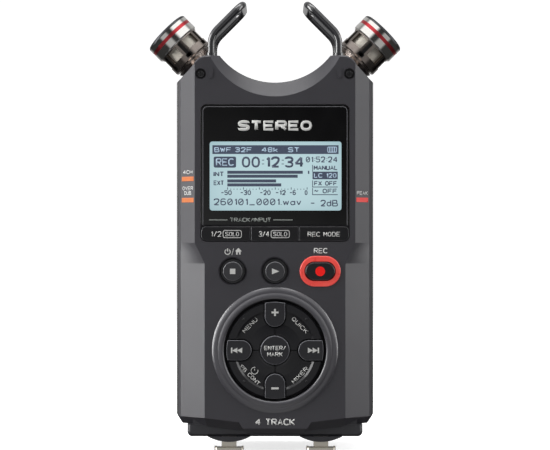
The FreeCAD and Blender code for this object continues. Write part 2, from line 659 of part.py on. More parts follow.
def lcd_module():
    frame = box(-LCD_HALF, LCD_HALF, FACE_Y + PANEL_DEPTH, BOARD_Y, LCD_BOTTOM, LCD_TOP)
    recess = box(-LCD_HALF + 0.9, LCD_HALF - 0.9, FACE_Y, FACE_Y + PANEL_DEPTH + 0.15, LCD_BOTTOM + 1.2, LCD_TOP - 1.2)
    return frame.cut(recess)


def main_board():
    board = box(-27.0, 27.0, BOARD_Y, BOARD_Y + BOARD_THICK, 13.0, 123.0)
    board = board.cut([rod_y(x, z, 2.6, -14, -8) for x in (-SCREW_X, SCREW_X) for z in SCREW_HEIGHTS])
    back = BOARD_Y + BOARD_THICK
    chips = [box(-8, 8, back, back + 1.4, 84, 100), box(-20, -11, back, back + 1.2, 60, 69),
             box(10, 20, back, back + 1.2, 56, 66), box(-21, -13, back, back + 2.0, 108, 116),
             box(-5, 5, back, back + 1.0, 40, 50)]
    cans = [rod_y(x, 76, 2.5, back, back + 5.0) for x in (-18, -11, 11, 18)]
    return fused([board] + chips + cans)


def keypad_mat():
    """The rubber sheet that the keys rest on."""
    sheet = box(-22.0, 22.0, MAT_Y, BOARD_Y, 16.0, 73.0).fuse(box(-25.6, 25.6, MAT_Y, BOARD_Y, 73.0, 79.6))
    return sheet.removeSplitter()


def speaker():
    basket = Part.makeCone(SPEAKER_RADIUS - 3, SPEAKER_RADIUS, 2.4, V(0, BACK_Y - WALL - 3.6, SPEAKER_Z), V(0, 1, 0))
    rim = rod_y(0, SPEAKER_Z, SPEAKER_RADIUS, BACK_Y - WALL - 1.2, BACK_Y - WALL)
    magnet = rod_y(0, SPEAKER_Z, 3.6, BACK_Y - WALL - 6.0, BACK_Y - WALL - 3.6)
    dish = Part.makeCone(3.0, SPEAKER_RADIUS - 1.0, 1.8, V(0, BACK_Y - WALL - 1.8, SPEAKER_Z), V(0, 1, 0))
    return fused([basket, rim, magnet]).cut(dish)


def battery_cells():
    """Three AA cells side by side, the middle one turned over."""
    cells = []
    for place in (-1, 0, 1):
        low = BAY_BOTTOM + (3.0 if place else 1.4)
        can = rod_z(place * CELL_PITCH, CELL_Y, CELL_RADIUS, low, low + CELL_LENGTH)
        can = fillet(can, 0.6, lambda edge: edge.Curve.TypeId == "Part::GeomCircle")
        button = low + CELL_LENGTH if place else low - 1.0
        cells.append(can.fuse(rod_z(place * CELL_PITCH, CELL_Y, 2.7, button, button + 1.0)))
    return cells


def battery_contacts():
    """Sprung contacts at the flat end of each cell and plates at the other end."""
    contacts = []
    for place in (-1, 0, 1):
        x = place * CELL_PITCH
        low_plate = box(x - 5, x + 5, CELL_Y - 4.5, CELL_Y + 4.5, BAY_BOTTOM, BAY_BOTTOM + 0.4)
        high_plate = box(x - 5, x + 5, CELL_Y - 4.5, CELL_Y + 4.5, BAY_TOP - 0.4, BAY_TOP)
        if place:
            spring = Part.makeCone(4.0, 2.4, 2.6, V(x, CELL_Y, BAY_BOTTOM + 0.4), V(0, 0, 1))
            contacts += [low_plate.fuse(spring), high_plate]
        else:
            spring_low = BAY_BOTTOM + 1.4 + CELL_LENGTH
            spring = Part.makeCone(2.4, 4.0, BAY_TOP - 0.4 - spring_low, V(x, CELL_Y, spring_low), V(0, 0, 1))
            contacts += [low_plate, high_plate.fuse(spring)]
    return contacts


def battery_cover():
    y0, y1 = BACK_Y - RECESS_DEPTH + 0.06, BACK_Y - 0.02
    cover = slab_y(-COVER_HALF, COVER_HALF, COVER_BOTTOM, COVER_TOP, 1.4, y0, y1)
    cover = fillet(cover, 0.4, at_y(y1))
    grip = [stadium(0, COVER_BOTTOM + 5.0 + 2.0 * step, 12.0, 0.9, y1 - 0.4, y1 + 1) for step in range(4)]
    return cover.cut(grip)


def tripod_insert():
    body = rod_y(0, TRIPOD_Z, TRIPOD_OUTER, BACK_Y - TRIPOD_DEPTH, BACK_Y)
    body = chamfer(body, 0.3, at_y(BACK_Y))
    return body.cut(rod_y(0, TRIPOD_Z, TRIPOD_BORE, BACK_Y - TRIPOD_DEPTH - 1, BACK_Y + 1))


def rubber_feet():
    feet = []
    for x in (-FOOT_X, FOOT_X):
        for z in FOOT_HEIGHTS:
            foot = rod_y(x, z, FOOT_RADIUS, BACK_Y - 0.6, BACK_Y + FOOT_PROUD)
            feet.append(fillet(foot, 0.3, at_y(BACK_Y + FOOT_PROUD)))
    return feet


def side_jacks():
    """Two small round jacks in the left side, for headphones and a remote control."""
    jacks = []
    for z in SIDE_JACK_HEIGHTS:
        barrel = rod_x(SIDE_AXIS_Y, z, 2.95, -HALF_WIDTH + 0.1, -HALF_WIDTH + 3.0)
        housing = box(-HALF_WIDTH + 3.0, -HALF_WIDTH + 11.0, SIDE_AXIS_Y - 3.4, SIDE_AXIS_Y + 3.4, z - 3.4, z + 3.4)
        bore = rod_x(SIDE_AXIS_Y, z, 1.8, -HALF_WIDTH - 1, -HALF_WIDTH + 10)
        jacks.append(barrel.fuse(housing).cut(bore))
    return jacks


def usb_port():
    shell = fillet(box(27.4, HALF_WIDTH - 0.2, SIDE_AXIS_Y - 1.6, SIDE_AXIS_Y + 1.6, USB_Z - 4.5, USB_Z + 4.5),
                   1.5, along(0))
    hollow = fillet(box(28.4, HALF_WIDTH + 1, SIDE_AXIS_Y - 1.25, SIDE_AXIS_Y + 1.25, USB_Z - 4.15, USB_Z + 4.15),
                    1.2, along(0))
    blade = box(28.4, HALF_WIDTH - 1.4, SIDE_AXIS_Y - 0.35, SIDE_AXIS_Y + 0.35, USB_Z - 3.3, USB_Z + 3.3)
    return shell.cut(hollow).fuse(blade)


def card_socket():
    """The socket behind the side door that holds a memory card."""
    z0, z1 = DOOR_Z[0] + 3.4, DOOR_Z[1] - 3.4
    shell = box(24.4, HALF_WIDTH - 2.0, -0.9, 2.9, z0, z1)
    return shell.cut(box(25.2, HALF_WIDTH, 0.0, 2.2, z0 + 0.7, z1 - 0.7))


# ---- keys ---------------------------------------------------------------------

def function_key(x0, x1):
    y0 = FACE_Y - 0.15
    bottom = PANEL_BOTTOM + 0.35
    panel = slab_y(-PANEL_HALF + 0.35, PANEL_HALF - 0.35, bottom, FUNCTION_KEY_TOP, 1.6, y0, KEY_BACK_Y)
    key = panel.common(box(x0, x1, y0 - 1, KEY_BACK_Y + 1, bottom - 1, FUNCTION_KEY_TOP + 1))
    return fillet(key, 0.2, at_y(y0))


def round_key(x):
    flange = rod_y(x, ROUND_KEY_Z, ROUND_KEY_FLANGE, FACE_Y + 1.1, KEY_BACK_Y)
    cap = rod_y(x, ROUND_KEY_Z, ROUND_KEY_RADIUS, FACE_Y - 0.9, FACE_Y + 1.1)
    cap = fillet(cap, 0.35, at_y(FACE_Y - 0.9))
    return flange.fuse(cap).removeSplitter()


def rec_key():
    key = stadium(REC_X, ROUND_KEY_Z, 10.5, 6.3, FACE_Y - 1.0, KEY_BACK_Y)
    return fillet(key, 0.5, at_y(FACE_Y - 1.0))


def tongue_shape(grow, y0, y1):
    """The outline of the upper tongue key: straight sides, a round inner end."""
    half = TONGUE_WIDTH / 2 + grow
    inner = TONGUE_INNER - grow
    end = rod_y(0, WHEEL_Z + inner + half, half, y0, y1)
    shank = box(-half, half, y0, y1, WHEEL_Z + inner + half, WHEEL_Z + WHEEL_KEY_RADIUS + 2)
    return fused([end, shank])


def turned_key(shape, angle):
    shape = shape.copy()
    shape.rotate(V(0, 0, WHEEL_Z), V(0, 1, 0), angle)
    return shape


def tongue_key(angle):
    y0 = FACE_Y - 0.95
    key = tongue_shape(0.0, y0, KEY_BACK_Y).common(rod_y(0, WHEEL_Z, WHEEL_KEY_RADIUS, y0 - 1, KEY_BACK_Y + 1))
    key = fillet(key, 0.3, at_y(y0))
    return turned_key(key, angle)


def quadrant_key(angle):
    """One of the four keys between the tongues: a raised outer band, a hollow middle."""
    top = -FACE_Y
    corners = [(ENTER_RADIUS + KEY_GAP, top + 0.35), (ENTER_RADIUS + KEY_GAP + 0.5, top + 0.5), (9.5, top + 0.05),
               (13.6, top + 0.15), (14.3, top + 0.75), (16.6, top + 0.75), (WHEEL_KEY_RADIUS, top + 0.2),
               (WHEEL_KEY_RADIUS, -KEY_BACK_Y), (ENTER_RADIUS + KEY_GAP, -KEY_BACK_Y)]
    points = [V(radius, -height, WHEEL_Z) for radius, height in corners]
    wire = Part.makePolygon(points + [points[0]])
    ring = Part.Face(wire).revolve(V(0, 0, WHEEL_Z), V(0, 1, 0), 360)
    edge = KEY_GAP / 2
    quarter = box(edge, 30, FACE_Y - 5, KEY_BACK_Y + 1, WHEEL_Z + edge, WHEEL_Z + 30)
    key = ring.common(quarter)
    gap_up = tongue_shape(TONGUE_GAP, FACE_Y - 5, KEY_BACK_Y + 1)
    key = key.cut([gap_up, turned_key(gap_up, 90)])
    return turned_key(key, angle)


def enter_key():
    key = rod_y(0, WHEEL_Z, ENTER_RADIUS, FACE_Y - 0.75, KEY_BACK_Y)
    return fillet(key, 0.4, at_y(FACE_Y - 0.75))


# ---- side controls --------------------------------------------------------------

def side_block(span, x0, x1):
    return box(x0, x1, SIDE_Y0, SIDE_Y1, span[0], span[1])


def volume_rocker():
    key = side_block(VOLUME_Z, -HALF_WIDTH - SIDE_PROUD, -HALF_WIDTH + 1.6)
    return fillet(key, 0.45, lambda edge: edge.BoundBox.XMax < -HALF_WIDTH)


def level_rocker():
    key = side_block(LEVEL_Z, HALF_WIDTH - 1.6, HALF_WIDTH - 0.1)
    return fillet(key, 0.3, lambda edge: edge.BoundBox.XMin > HALF_WIDTH - 0.2)


def slide_switch(span):
    """A ribbed slide switch, wider inside the case than the slot it runs in."""
    grip = side_block(span, -HALF_WIDTH - SIDE_PROUD, -HALF_WIDTH + 2.2)
    count = 4
    pitch = (span[1] - span[0]) / (count + 0.5)
    ribs = [box(-HALF_WIDTH - 1, -HALF_WIDTH - SIDE_PROUD + 0.35, SIDE_Y0 - 1, SIDE_Y1 + 1,
                span[0] + (step + 0.5) * pitch, span[0] + (step + 1.0) * pitch) for step in range(count)]
    tail = box(-HALF_WIDTH + 2.2, -HALF_WIDTH + 3.4, SIDE_Y0 - 1.2, SIDE_Y1 + 1.2, span[0] + 0.6, span[1] - 0.6)
    return grip.cut(ribs).fuse(tail).removeSplitter()


def card_door():
    """The door over the card socket, with a round rear edge and a pin at each end of it."""
    pin_y = DOOR_Y[1] - DOOR_ROUND
    leaf = box(DOOR_PIN_X - DOOR_ROUND, DOOR_PIN_X + DOOR_ROUND, DOOR_Y[0], pin_y, DOOR_Z[0], DOOR_Z[1])
    edge = rod_z(DOOR_PIN_X, pin_y, DOOR_ROUND, DOOR_Z[0], DOOR_Z[1])
    pin = rod_z(DOOR_PIN_X, pin_y, DOOR_PIN_RADIUS, DOOR_Z[0] - 1.0, DOOR_Z[1] + 1.0)
    nail_groove = rod_z(DOOR_PIN_X + DOOR_ROUND + 0.25, DOOR_Y[0] + 1.0, 0.6, DOOR_Z[0] + 5, DOOR_Z[1] - 5)
    return fused([leaf, edge, pin]).cut(nail_groove)


# ---- assembly -------------------------------------------------------------------

def assembly():
    nodes = {
        "front_cover": [front_cover()],
        "rear_shell": [rear_shell()],
        "connector_block": [connector_block()],
        "display_window": [display_window()],
        "lcd_module": [lcd_module()],
        "main_board": [main_board()],
        "keypad_mat": [keypad_mat()],
        "wheel_ring": [wheel_ring()],
        "rec_light_ring": [rec_light_ring()],
        "bevel_lights": bevel_lights(),
        "guard_left": [guard()],
        "guard_right": [mirrored(guard())],
        "pivot_pins": pivot_pins(),
        "shoulder_screws": shoulder_screws(),
        "case_screws": case_screws(),
        "rubber_feet": rubber_feet(),
        "tripod_insert": [tripod_insert()],
        "speaker": [speaker()],
        "battery_cells": battery_cells(),
        "battery_contacts": battery_contacts(),
        "battery_cover": [battery_cover()],
        "jack_contacts": jack_contacts(),
        "side_jacks": side_jacks(),
        "usb_port": [usb_port()],
        "card_socket": [card_socket()],
        "card_door": [card_door()],
        "volume_rocker": [volume_rocker()],
        "level_rocker": [level_rocker()],
        "hold_switch": [slide_switch(HOLD_Z)],
        "input_switch": [slide_switch(INPUT_Z)],
        "stop_key": [round_key(STOP_X)],
        "play_key": [round_key(PLAY_X)],
        "rec_key": [rec_key()],
        "enter_key": [enter_key()],
    }
    for side, x in (("left", -JACK_X), ("right", JACK_X)):
        nodes["jack_" + side] = [jack(x)]
        nodes["latch_" + side] = [latch(x)]
    for name, shapes in (("base", [mic_base()]), ("barrel", [mic_barrel()]), ("capsule", mic_capsule()),
                         ("cap", [mic_cap()]), ("band", [mic_band()])):
        nodes["mic_" + name + "_left"] = shapes
        nodes["mic_" + name + "_right"] = [mirrored(shape) for shape in shapes]
    for name, angle in (("plus", 0), ("forward", 90), ("minus", 180), ("back", 270)):
        nodes[name + "_key"] = [tongue_key(angle)]
    for name, angle in (("quick", 0), ("mixer", 90), ("speed", 180), ("menu", 270)):
        nodes[name + "_key"] = [quadrant_key(angle)]
    inner, outer = FUNCTION_DIVIDER_X, PANEL_HALF
    half_gap = KEY_GAP / 2
    nodes["track_a_key"] = [function_key(-outer, -inner - half_gap)]
    nodes["track_b_key"] = [function_key(-inner + half_gap, inner - half_gap)]
    nodes["mode_key"] = [function_key(inner + half_gap, outer)]
    return nodes


os.makedirs("parts", exist_ok=True)
for node, shapes in assembly().items():
    shape = shapes[0] if len(shapes) == 1 else Part.makeCompound(shapes)
    shape.exportStep("parts/" + node + ".step")
    print(node, len(shape.Solids), round(shape.Volume, 2), shape.isValid())
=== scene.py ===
"""The looks of the handheld stereo recorder: finishes, printed marks, screen, small added pieces and the
studio.
"""

import json
import logging
import math
from dataclasses import dataclass, field
from enum import Enum
from typing import Callable, Iterable, Sequence

import bmesh
import bpy
from mathutils import Matrix, Vector


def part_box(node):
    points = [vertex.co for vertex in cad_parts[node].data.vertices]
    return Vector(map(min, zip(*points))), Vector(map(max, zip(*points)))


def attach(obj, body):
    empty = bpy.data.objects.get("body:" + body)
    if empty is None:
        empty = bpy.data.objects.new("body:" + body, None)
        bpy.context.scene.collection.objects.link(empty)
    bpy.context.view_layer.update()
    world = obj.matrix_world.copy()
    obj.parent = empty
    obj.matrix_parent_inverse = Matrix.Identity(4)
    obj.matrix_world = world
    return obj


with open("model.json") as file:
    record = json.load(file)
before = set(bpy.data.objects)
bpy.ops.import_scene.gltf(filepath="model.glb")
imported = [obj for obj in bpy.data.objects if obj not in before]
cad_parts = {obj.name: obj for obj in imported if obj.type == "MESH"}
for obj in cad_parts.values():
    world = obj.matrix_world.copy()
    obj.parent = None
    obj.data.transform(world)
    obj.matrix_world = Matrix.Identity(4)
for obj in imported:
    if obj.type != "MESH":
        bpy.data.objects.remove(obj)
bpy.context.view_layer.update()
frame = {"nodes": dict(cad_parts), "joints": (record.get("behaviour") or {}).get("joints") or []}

MM = 0.001
log = logging.getLogger("recorder")

Colour = tuple[float, float, float, float]


def rgb(text: str) -> Colour:
    """Turn a six-digit screen colour into scene-linear light.

    Args:
        text: The colour as six hexadecimal digits.

    Returns:
        Red, green, blue and an alpha of one.
    """
    parts = [int(text[i:i + 2], 16) / 255 for i in (0, 2, 4)]
    linear = [c / 12.92 if c <= 0.04045 else ((c + 0.055) / 1.055) ** 2.4 for c in parts]
    return (linear[0], linear[1], linear[2], 1.0)


# ---------------------------------------------------------------- shader kit


class Wire:
    """One value or vector output in a material, with the arithmetic that shader maths needs."""

    def __init__(self, shader: "Shader", socket: bpy.types.NodeSocket) -> None:
        """Keep the socket and the material that it belongs to."""
        self.shader = shader
        self.socket = socket

    def _math(self, operation: str, *operands: object) -> "Wire":
        """Add one Math node."""
        inputs = dict(enumerate(operands))
        return self.shader.node("ShaderNodeMath", {"operation": operation}, inputs)

    def __add__(self, other: object) -> "Wire":
        """Sum."""
        return self._math("ADD", self, other)

    __radd__ = __add__

    def __sub__(self, other: object) -> "Wire":
        """Difference."""
        return self._math("SUBTRACT", self, other)

    def __rsub__(self, other: object) -> "Wire":
        """Difference with this value taken away."""
        return self._math("SUBTRACT", other, self)

    def __mul__(self, other: object) -> "Wire":
        """Product."""
        return self._math("MULTIPLY", self, other)

    __rmul__ = __mul__

    def __truediv__(self, other: object) -> "Wire":
        """Quotient."""
        return self._math("DIVIDE", self, other)

    def __pow__(self, other: object) -> "Wire":
        """Power."""
        return self._math("POWER", self, other)

    def __gt__(self, other: object) -> "Wire":
        """One where this value is the larger, else nought."""
        return self._math("GREATER_THAN", self, other)

    def __lt__(self, other: object) -> "Wire":
        """One where this value is the smaller, else nought."""
        return self._math("LESS_THAN", self, other)

    def sine(self) -> "Wire":
        """Sine of an angle in radians."""
        return self._math("SINE", self)

    def absolute(self) -> "Wire":
        """Distance from nought."""
        return self._math("ABSOLUTE", self)

    def fraction(self) -> "Wire":
        """What is left after the whole part."""
        return self._math("FRACT", self)

    def angle(self, other: "Wire") -> "Wire":
        """Angle of the point (other, self), in radians."""
        return self._math("ARCTAN2", self, other)

    def dot(self, direction: Sequence[float]) -> "Wire":
        """Component of a vector output along a direction."""
        return self.shader.node("ShaderNodeVectorMath", {"operation": "DOT_PRODUCT"},
                                {0: self, 1: tuple(direction)}, output="Value")

    def shifted(self, offset: Sequence[float]) -> "Wire":
        """A vector output with a constant added."""
        return self.shader.node("ShaderNodeVectorMath", {"operation": "ADD"}, {0: self, 1: tuple(offset)})

    def stretched(self, factors: Sequence[float]) -> "Wire":
        """A vector output with each component multiplied."""
        return self.shader.node("ShaderNodeVectorMath", {"operation": "MULTIPLY"},
                                {0: self, 1: tuple(factors)})


class Shader:
    """A material being wired up round one Principled surface."""

    def __init__(self, name: str) -> None:
        """Start a material with an empty tree.

        Args:
            name: The material's name.
        """
        self.material = bpy.data.materials.new(name)
        self.material.use_nodes = True
        self.tree = self.material.node_tree
        self.tree.nodes.clear()
        self.surface = self.tree.nodes.new("ShaderNodeBsdfPrincipled")
        self.out = self.tree.nodes.new("ShaderNodeOutputMaterial")
        self.tree.links.new(self.surface.outputs[0], self.out.inputs[0])

    def node(self, kind: str, settings: dict | None = None, inputs: dict | None = None,
             output: str | int = 0) -> Wire:
        """Add any node.

        Args:
            kind: The node's type.
            settings: Its own settings; "stops" holds a ramp's (place, colour) pairs.
            inputs: Values or wires, by socket name or number.
            output: The output that is handed back.

        Returns:
            The chosen output.
        """
        made = self.tree.nodes.new(kind)
        for key, value in (settings or {}).items():
            if key == "stops":
                self._stops(made.color_ramp, value)
            else:
                setattr(made, key, value)
        for key, value in (inputs or {}).items():
            self._feed(made.inputs[key], value)
        return Wire(self, made.outputs[output])

    @staticmethod
    def _stops(ramp: bpy.types.ColorRamp, stops: Sequence[tuple[float, Colour]]) -> None:
        """Set a ramp's stops, of which it starts with two."""
        while len(ramp.elements) < len(stops):
            ramp.elements.new(0.5)
        for element, (place, colour) in zip(ramp.elements, stops):
            element.position = place
            element.color = colour

    def _feed(self, socket: bpy.types.NodeSocket, value: object) -> None:
        """Link a wire to a socket, or set the socket's value."""
        if isinstance(value, Wire):
            self.tree.links.new(value.socket, socket)
        else:
            socket.default_value = value

    def place(self) -> Wire:
        """Position in the object's own coordinates, in metres."""
        return self.node("ShaderNodeTexCoord", output="Object")

    def facing(self) -> Wire:
        """How squarely the surface faces the front, from 1 down to nought at right angles."""
        return self.node("ShaderNodeTexCoord", output="Normal").dot((0, -1, 0))

    def noise(self, size: float, detail: float = 2.0, place: Wire | None = None) -> Wire:
        """Soft noise from 0 to 1.

        Args:
            size: Width of one blot, in metres.
            detail: Octaves of finer noise.
            place: Where it is looked up, else the object's own coordinates.

        Returns:
            The noise value.
        """
        where = place or self.place()
        return self.node("ShaderNodeTexNoise", {"noise_dimensions": "3D"},
                         {"Vector": where, "Scale": 1.0 / size, "Detail": detail, "Roughness": 0.55})

    def blend(self, share: Wire, first: object, second: object) -> Wire:
        """Mix two colours by a value from 0 to 1."""
        return self.node("ShaderNodeMix", {"data_type": "RGBA"},
                         {"Factor": share, 6: first, 7: second}, output=2)

    def bump(self, height: Wire, depth: float, strength: float = 1.0) -> None:
        """Raise the surface by a height from 0 to 1 times a depth in metres."""
        normal = self.node("ShaderNodeBump", {}, {"Height": height, "Distance": depth, "Strength": strength})
        self._feed(self.surface.inputs["Normal"], normal)

    def set(self, **values: object) -> "Shader":
        """Feed the surface's sockets; an underscore in a name stands for a space."""
        for key, value in values.items():
            self._feed(self.surface.inputs[key.replace("_", " ")], value)
        return self


@dataclass(frozen=True)
class Moulded:
    """Spark-eroded plastic: a fine even grain, with slow changes of colour and gloss from handling. An edge
    colour is a painted highlight on rims that face half forward; a dark colour past a half-width is painted
    shade on the outer sides.
    """

    name: str
    colour: Colour
    roughness: float = 0.5
    grain: float = 0.00022
    depth: float = 0.00002
    drift: float = 0.12
    specular: float = 0.5
    coat: float = 0.0
    # A lighter colour for rims that face half forward: a painted highlight.
    edge: Colour | None = None
    # A dark colour and a half-width in metres: painted shade on the outer sides past that half-width.
    painted_shade_strip: tuple[Colour, float] | None = None

    def make(self) -> bpy.types.Material:
        """Build the material."""
        s = Shader(self.name)
        cloud = s.noise(0.018, 3.0)
        darker = tuple(c * (1 - self.drift) for c in self.colour[:3]) + (1.0,)
        lighter = tuple(c * (1 + self.drift) for c in self.colour[:3]) + (1.0,)
        shade = s.blend(cloud, darker, lighter)
        # Painted highlight: rims that face half forward take the lighter edge colour.
        if self.edge:
            facing = s.facing()
            shade = s.blend((facing > 0.25) * (facing < 0.93), shade, self.edge)
        # Painted shade: past the half-width the colour turns dark, for outer sides that lie in shadow.
        if self.painted_shade_strip:
            across = s.place().dot((1, 0, 0))
            shade = s.blend(across * across > self.painted_shade_strip[1] ** 2, shade, self.painted_shade_strip[0])
        s.set(Base_Color=shade, Specular_IOR_Level=self.specular)
        s.set(Coat_Weight=self.coat, Coat_Roughness=0.12)
        s.set(Roughness=cloud * 0.12 + (self.roughness - 0.06))
        s.bump(s.noise(self.grain, 1.0), self.depth)
        return s.material


@dataclass(frozen=True)
class Gloss:
    """Polished plastic under a clear coat, with a trace of finger marks in its gloss."""

    name: str
    colour: Colour
    roughness: float = 0.08
    coat: float = 0.6

    def make(self) -> bpy.types.Material:
        """Build the material."""
        s = Shader(self.name)
        marks = s.noise(0.012, 4.0)
        s.set(Base_Color=s.blend(marks, self.colour, tuple(c * 1.3 for c in self.colour[:3]) + (1.0,)))
        s.set(Roughness=marks ** 3.0 * 0.25 + self.roughness, Coat_Weight=self.coat, Coat_Roughness=0.04)
        return s.material


@dataclass(frozen=True)
class Glow:
    """A light pipe or lamp: a tinted plastic that shines from within, its tint mottled."""

    name: str
    colour: Colour
    light: Colour
    strength: float = 0.5
    other: tuple[Colour, Colour] | None = None

    def make(self) -> bpy.types.Material:
        """Build the material; the other pair of colours is for the lamps on the right."""
        s = Shader(self.name)
        cloud = s.noise(0.003, 2.0)
        shade = s.blend(cloud, self.colour, self.light)
        if self.other:
            right = s.place().dot((1, 0, 0)) > 0.0
            shade = s.blend(right, shade, s.blend(cloud, *self.other))
        s.set(Base_Color=shade, Roughness=cloud * 0.1 + 0.24, Coat_Weight=0.3)
        s.set(Emission_Color=shade, Emission_Strength=self.strength)
        return s.material


@dataclass(frozen=True)
class LitScreen:
    """The backlit panel: pale light that fades towards its rim, divided into fine picture cells."""

    name: str
    colour: Colour
    rim: Colour
    cell: float
    centre: tuple[float, float, float]
    half: tuple[float, float]
    strength: float = 0.92

    def make(self) -> bpy.types.Material:
        """Build the material."""
        s = Shader(self.name)
        place = s.place().shifted(tuple(-c for c in self.centre))
        across = place.dot((1, 0, 0))
        upward = place.dot((0, 0, 1))
        lines = [((step / self.cell).fraction() - 0.5).absolute() > 0.44 for step in (across, upward)]
        grid = (lines[0] + lines[1]) * 0.10
        sideways = (across / self.half[0]).absolute() ** 4.0 * 0.35
        fade = sideways + (upward / self.half[1]).absolute() ** 4.0 * 0.35
        shade = s.blend(fade + grid + s.noise(0.02, 1.0) * 0.12, self.colour, self.rim)
        s.set(Base_Color=s.blend(fade, rgb("202426"), rgb("181c1e")))
        s.set(Roughness=s.noise(0.01, 1.0) * 0.05 + 0.12)
        s.set(Coat_Weight=0.5, Emission_Color=shade, Emission_Strength=self.strength)
        return s.material


@dataclass(frozen=True)
class Ink:
    """Screen-printed ink: flat colour with a slight mottle, a little rough."""

    name: str
    colour: Colour
    roughness: float = 0.55
    glow: float = 0.0

    def make(self) -> bpy.types.Material:
        """Build the material."""
        s = Shader(self.name)
        mottle = s.noise(0.0006, 2.0)
        s.set(Base_Color=s.blend(mottle, self.colour, tuple(c * 0.86 for c in self.colour[:3]) + (1.0,)))
        s.set(Roughness=mottle * 0.1 + self.roughness)
        # A glow makes the ink shine by itself: on the screen's marks it stands for the backlight, on printed
        # ink it is painted light.
        if self.glow:
            s.set(Emission_Color=s.blend(mottle, self.colour, self.colour), Emission_Strength=self.glow)
        return s.material


class Cut(Enum):
    """How a metal surface was finished, which sets the run of its fine lines."""

    TURNED = "turned"
    BRUSHED = "brushed"
    ROLLED = "rolled"


@dataclass(frozen=True)
class Metal:
    """Bare or plated metal with fine tool lines and a slow change of tone."""

    name: str
    colour: Colour
    roughness: float = 0.25
    cut: Cut = Cut.BRUSHED
    axis: tuple[float, float, float] = (0.0, 0.0, 1.0)
    pitch: float = 0.00025
    depth: float = 0.000004

    def make(self) -> bpy.types.Material:
        """Build the material."""
        s = Shader(self.name)
        place = s.place()
        if self.cut is Cut.TURNED:
            along = place.dot(self.axis)
            lines = s.node("ShaderNodeTexNoise", {"noise_dimensions": "1D"},
                           {"W": along, "Scale": 1.0 / self.pitch, "Detail": 2.0})
        elif self.cut is Cut.BRUSHED:
            lines = s.noise(self.pitch, 2.0, place.stretched((1.0, 1.0, 0.06)))
        else:
            lines = s.noise(self.pitch * 6, 3.0)
        tone = s.noise(0.006, 2.0)
        dull = tuple(c * 0.8 for c in self.colour[:3]) + (1.0,)
        s.set(Base_Color=s.blend(tone * 0.6 + lines * 0.4, self.colour, dull), Metallic=1.0)
        s.set(Roughness=lines * 0.12 + tone * 0.08 + (self.roughness - 0.08))
        s.bump(lines, self.depth)
        return s.material


@dataclass(frozen=True)
class Rimmed:
    """Bright plated metal, turned on a lathe, whose outer lip is coloured dark and made rougher: the dark is
    painted shade that keeps the lamps' highlights off the lip.
    """

    name: str
    colour: Colour
    lip: Colour
    axis: tuple[float, float, float]
    edge: float
    roughness: float = 0.12
    pitch: float = 0.0004

    def make(self) -> bpy.types.Material:
        """Build the material."""
        s = Shader(self.name)
        along = s.place().dot(self.axis)
        lines = s.node("ShaderNodeTexNoise", {"noise_dimensions": "1D"},
                       {"W": along, "Scale": 1.0 / self.pitch, "Detail": 2.0})
        # Painted shade: from the lip's start outwards the metal takes the dark lip colour.
        lip_painted_shade = along > self.edge
        s.set(Base_Color=s.blend(lip_painted_shade, self.colour, self.lip), Metallic=1.0)
        s.set(Roughness=lines * 0.1 + lip_painted_shade * 0.3 + (self.roughness - 0.05))
        s.bump(lines, 0.000002)
        return s.material


@dataclass(frozen=True)
class Weave:
    """Fine woven wire cloth wrapped round a microphone's axis."""

    name: str
    bright: Colour
    dark: Colour
    pivot: tuple[float, float, float]
    axis: tuple[float, float, float]
    side: tuple[float, float, float]
    around: int = 64
    pitch: float = 0.00062

    def make(self) -> bpy.types.Material:
        """Build the material."""
        s = Shader(self.name)
        place = s.place().shifted(tuple(-c for c in self.pivot))
        turn = place.dot(self.side).angle(place.dot((0, 1, 0)))
        along = place.dot(self.axis)
        warp = (turn * self.around).sine()
        weft = (along * (2 * math.pi / self.pitch)).sine()
        crossing = warp * weft * 0.5 + 0.5
        s.set(Base_Color=s.blend(crossing, self.dark, self.bright), Metallic=0.2)
        s.set(Roughness=crossing * 0.1 + 0.42)
        s.bump(crossing, 0.00006)
        return s.material


@dataclass(frozen=True)
class Board:
    """A circuit board: green mask over faint copper tracks."""

    name: str

    def make(self) -> bpy.types.Material:
        """Build the material."""
        s = Shader(self.name)
        place = s.place()
        tracks = (place.dot((700, 0, 700)).fraction() - 0.5).absolute() > 0.36
        s.set(Base_Color=s.blend(tracks * 0.5, rgb("0f4a2c"), rgb("2f8a55")))
        s.set(Roughness=s.noise(0.004) * 0.1 + 0.3)
        s.bump(tracks, 0.00002)
        return s.material


# ---------------------------------------------------------------- flat work


def rounded(x0: float, x1: float, z0: float, z1: float, radius: float,
            steps: int = 6) -> list[tuple[float, float]]:
    """Outline of a rectangle with round corners, anticlockwise, in millimetres."""
    corners = ((x1 - radius, z1 - radius, 0), (x0 + radius, z1 - radius, 90),
               (x0 + radius, z0 + radius, 180), (x1 - radius, z0 + radius, 270))
    points = []
    for cx, cz, start in corners:
        for step in range(steps + 1):
            turn = math.radians(start + 90 * step / steps)
            points.append((cx + radius * math.cos(turn), cz + radius * math.sin(turn)))
    return points


def circle(cx: float, cz: float, radius: float, steps: int = 24) -> list[tuple[float, float]]:
    """Outline of a circle, anticlockwise, in millimetres."""
    turns = [2 * math.pi * step / steps for step in range(steps)]
    return [(cx + radius * math.cos(turn), cz + radius * math.sin(turn)) for turn in turns]


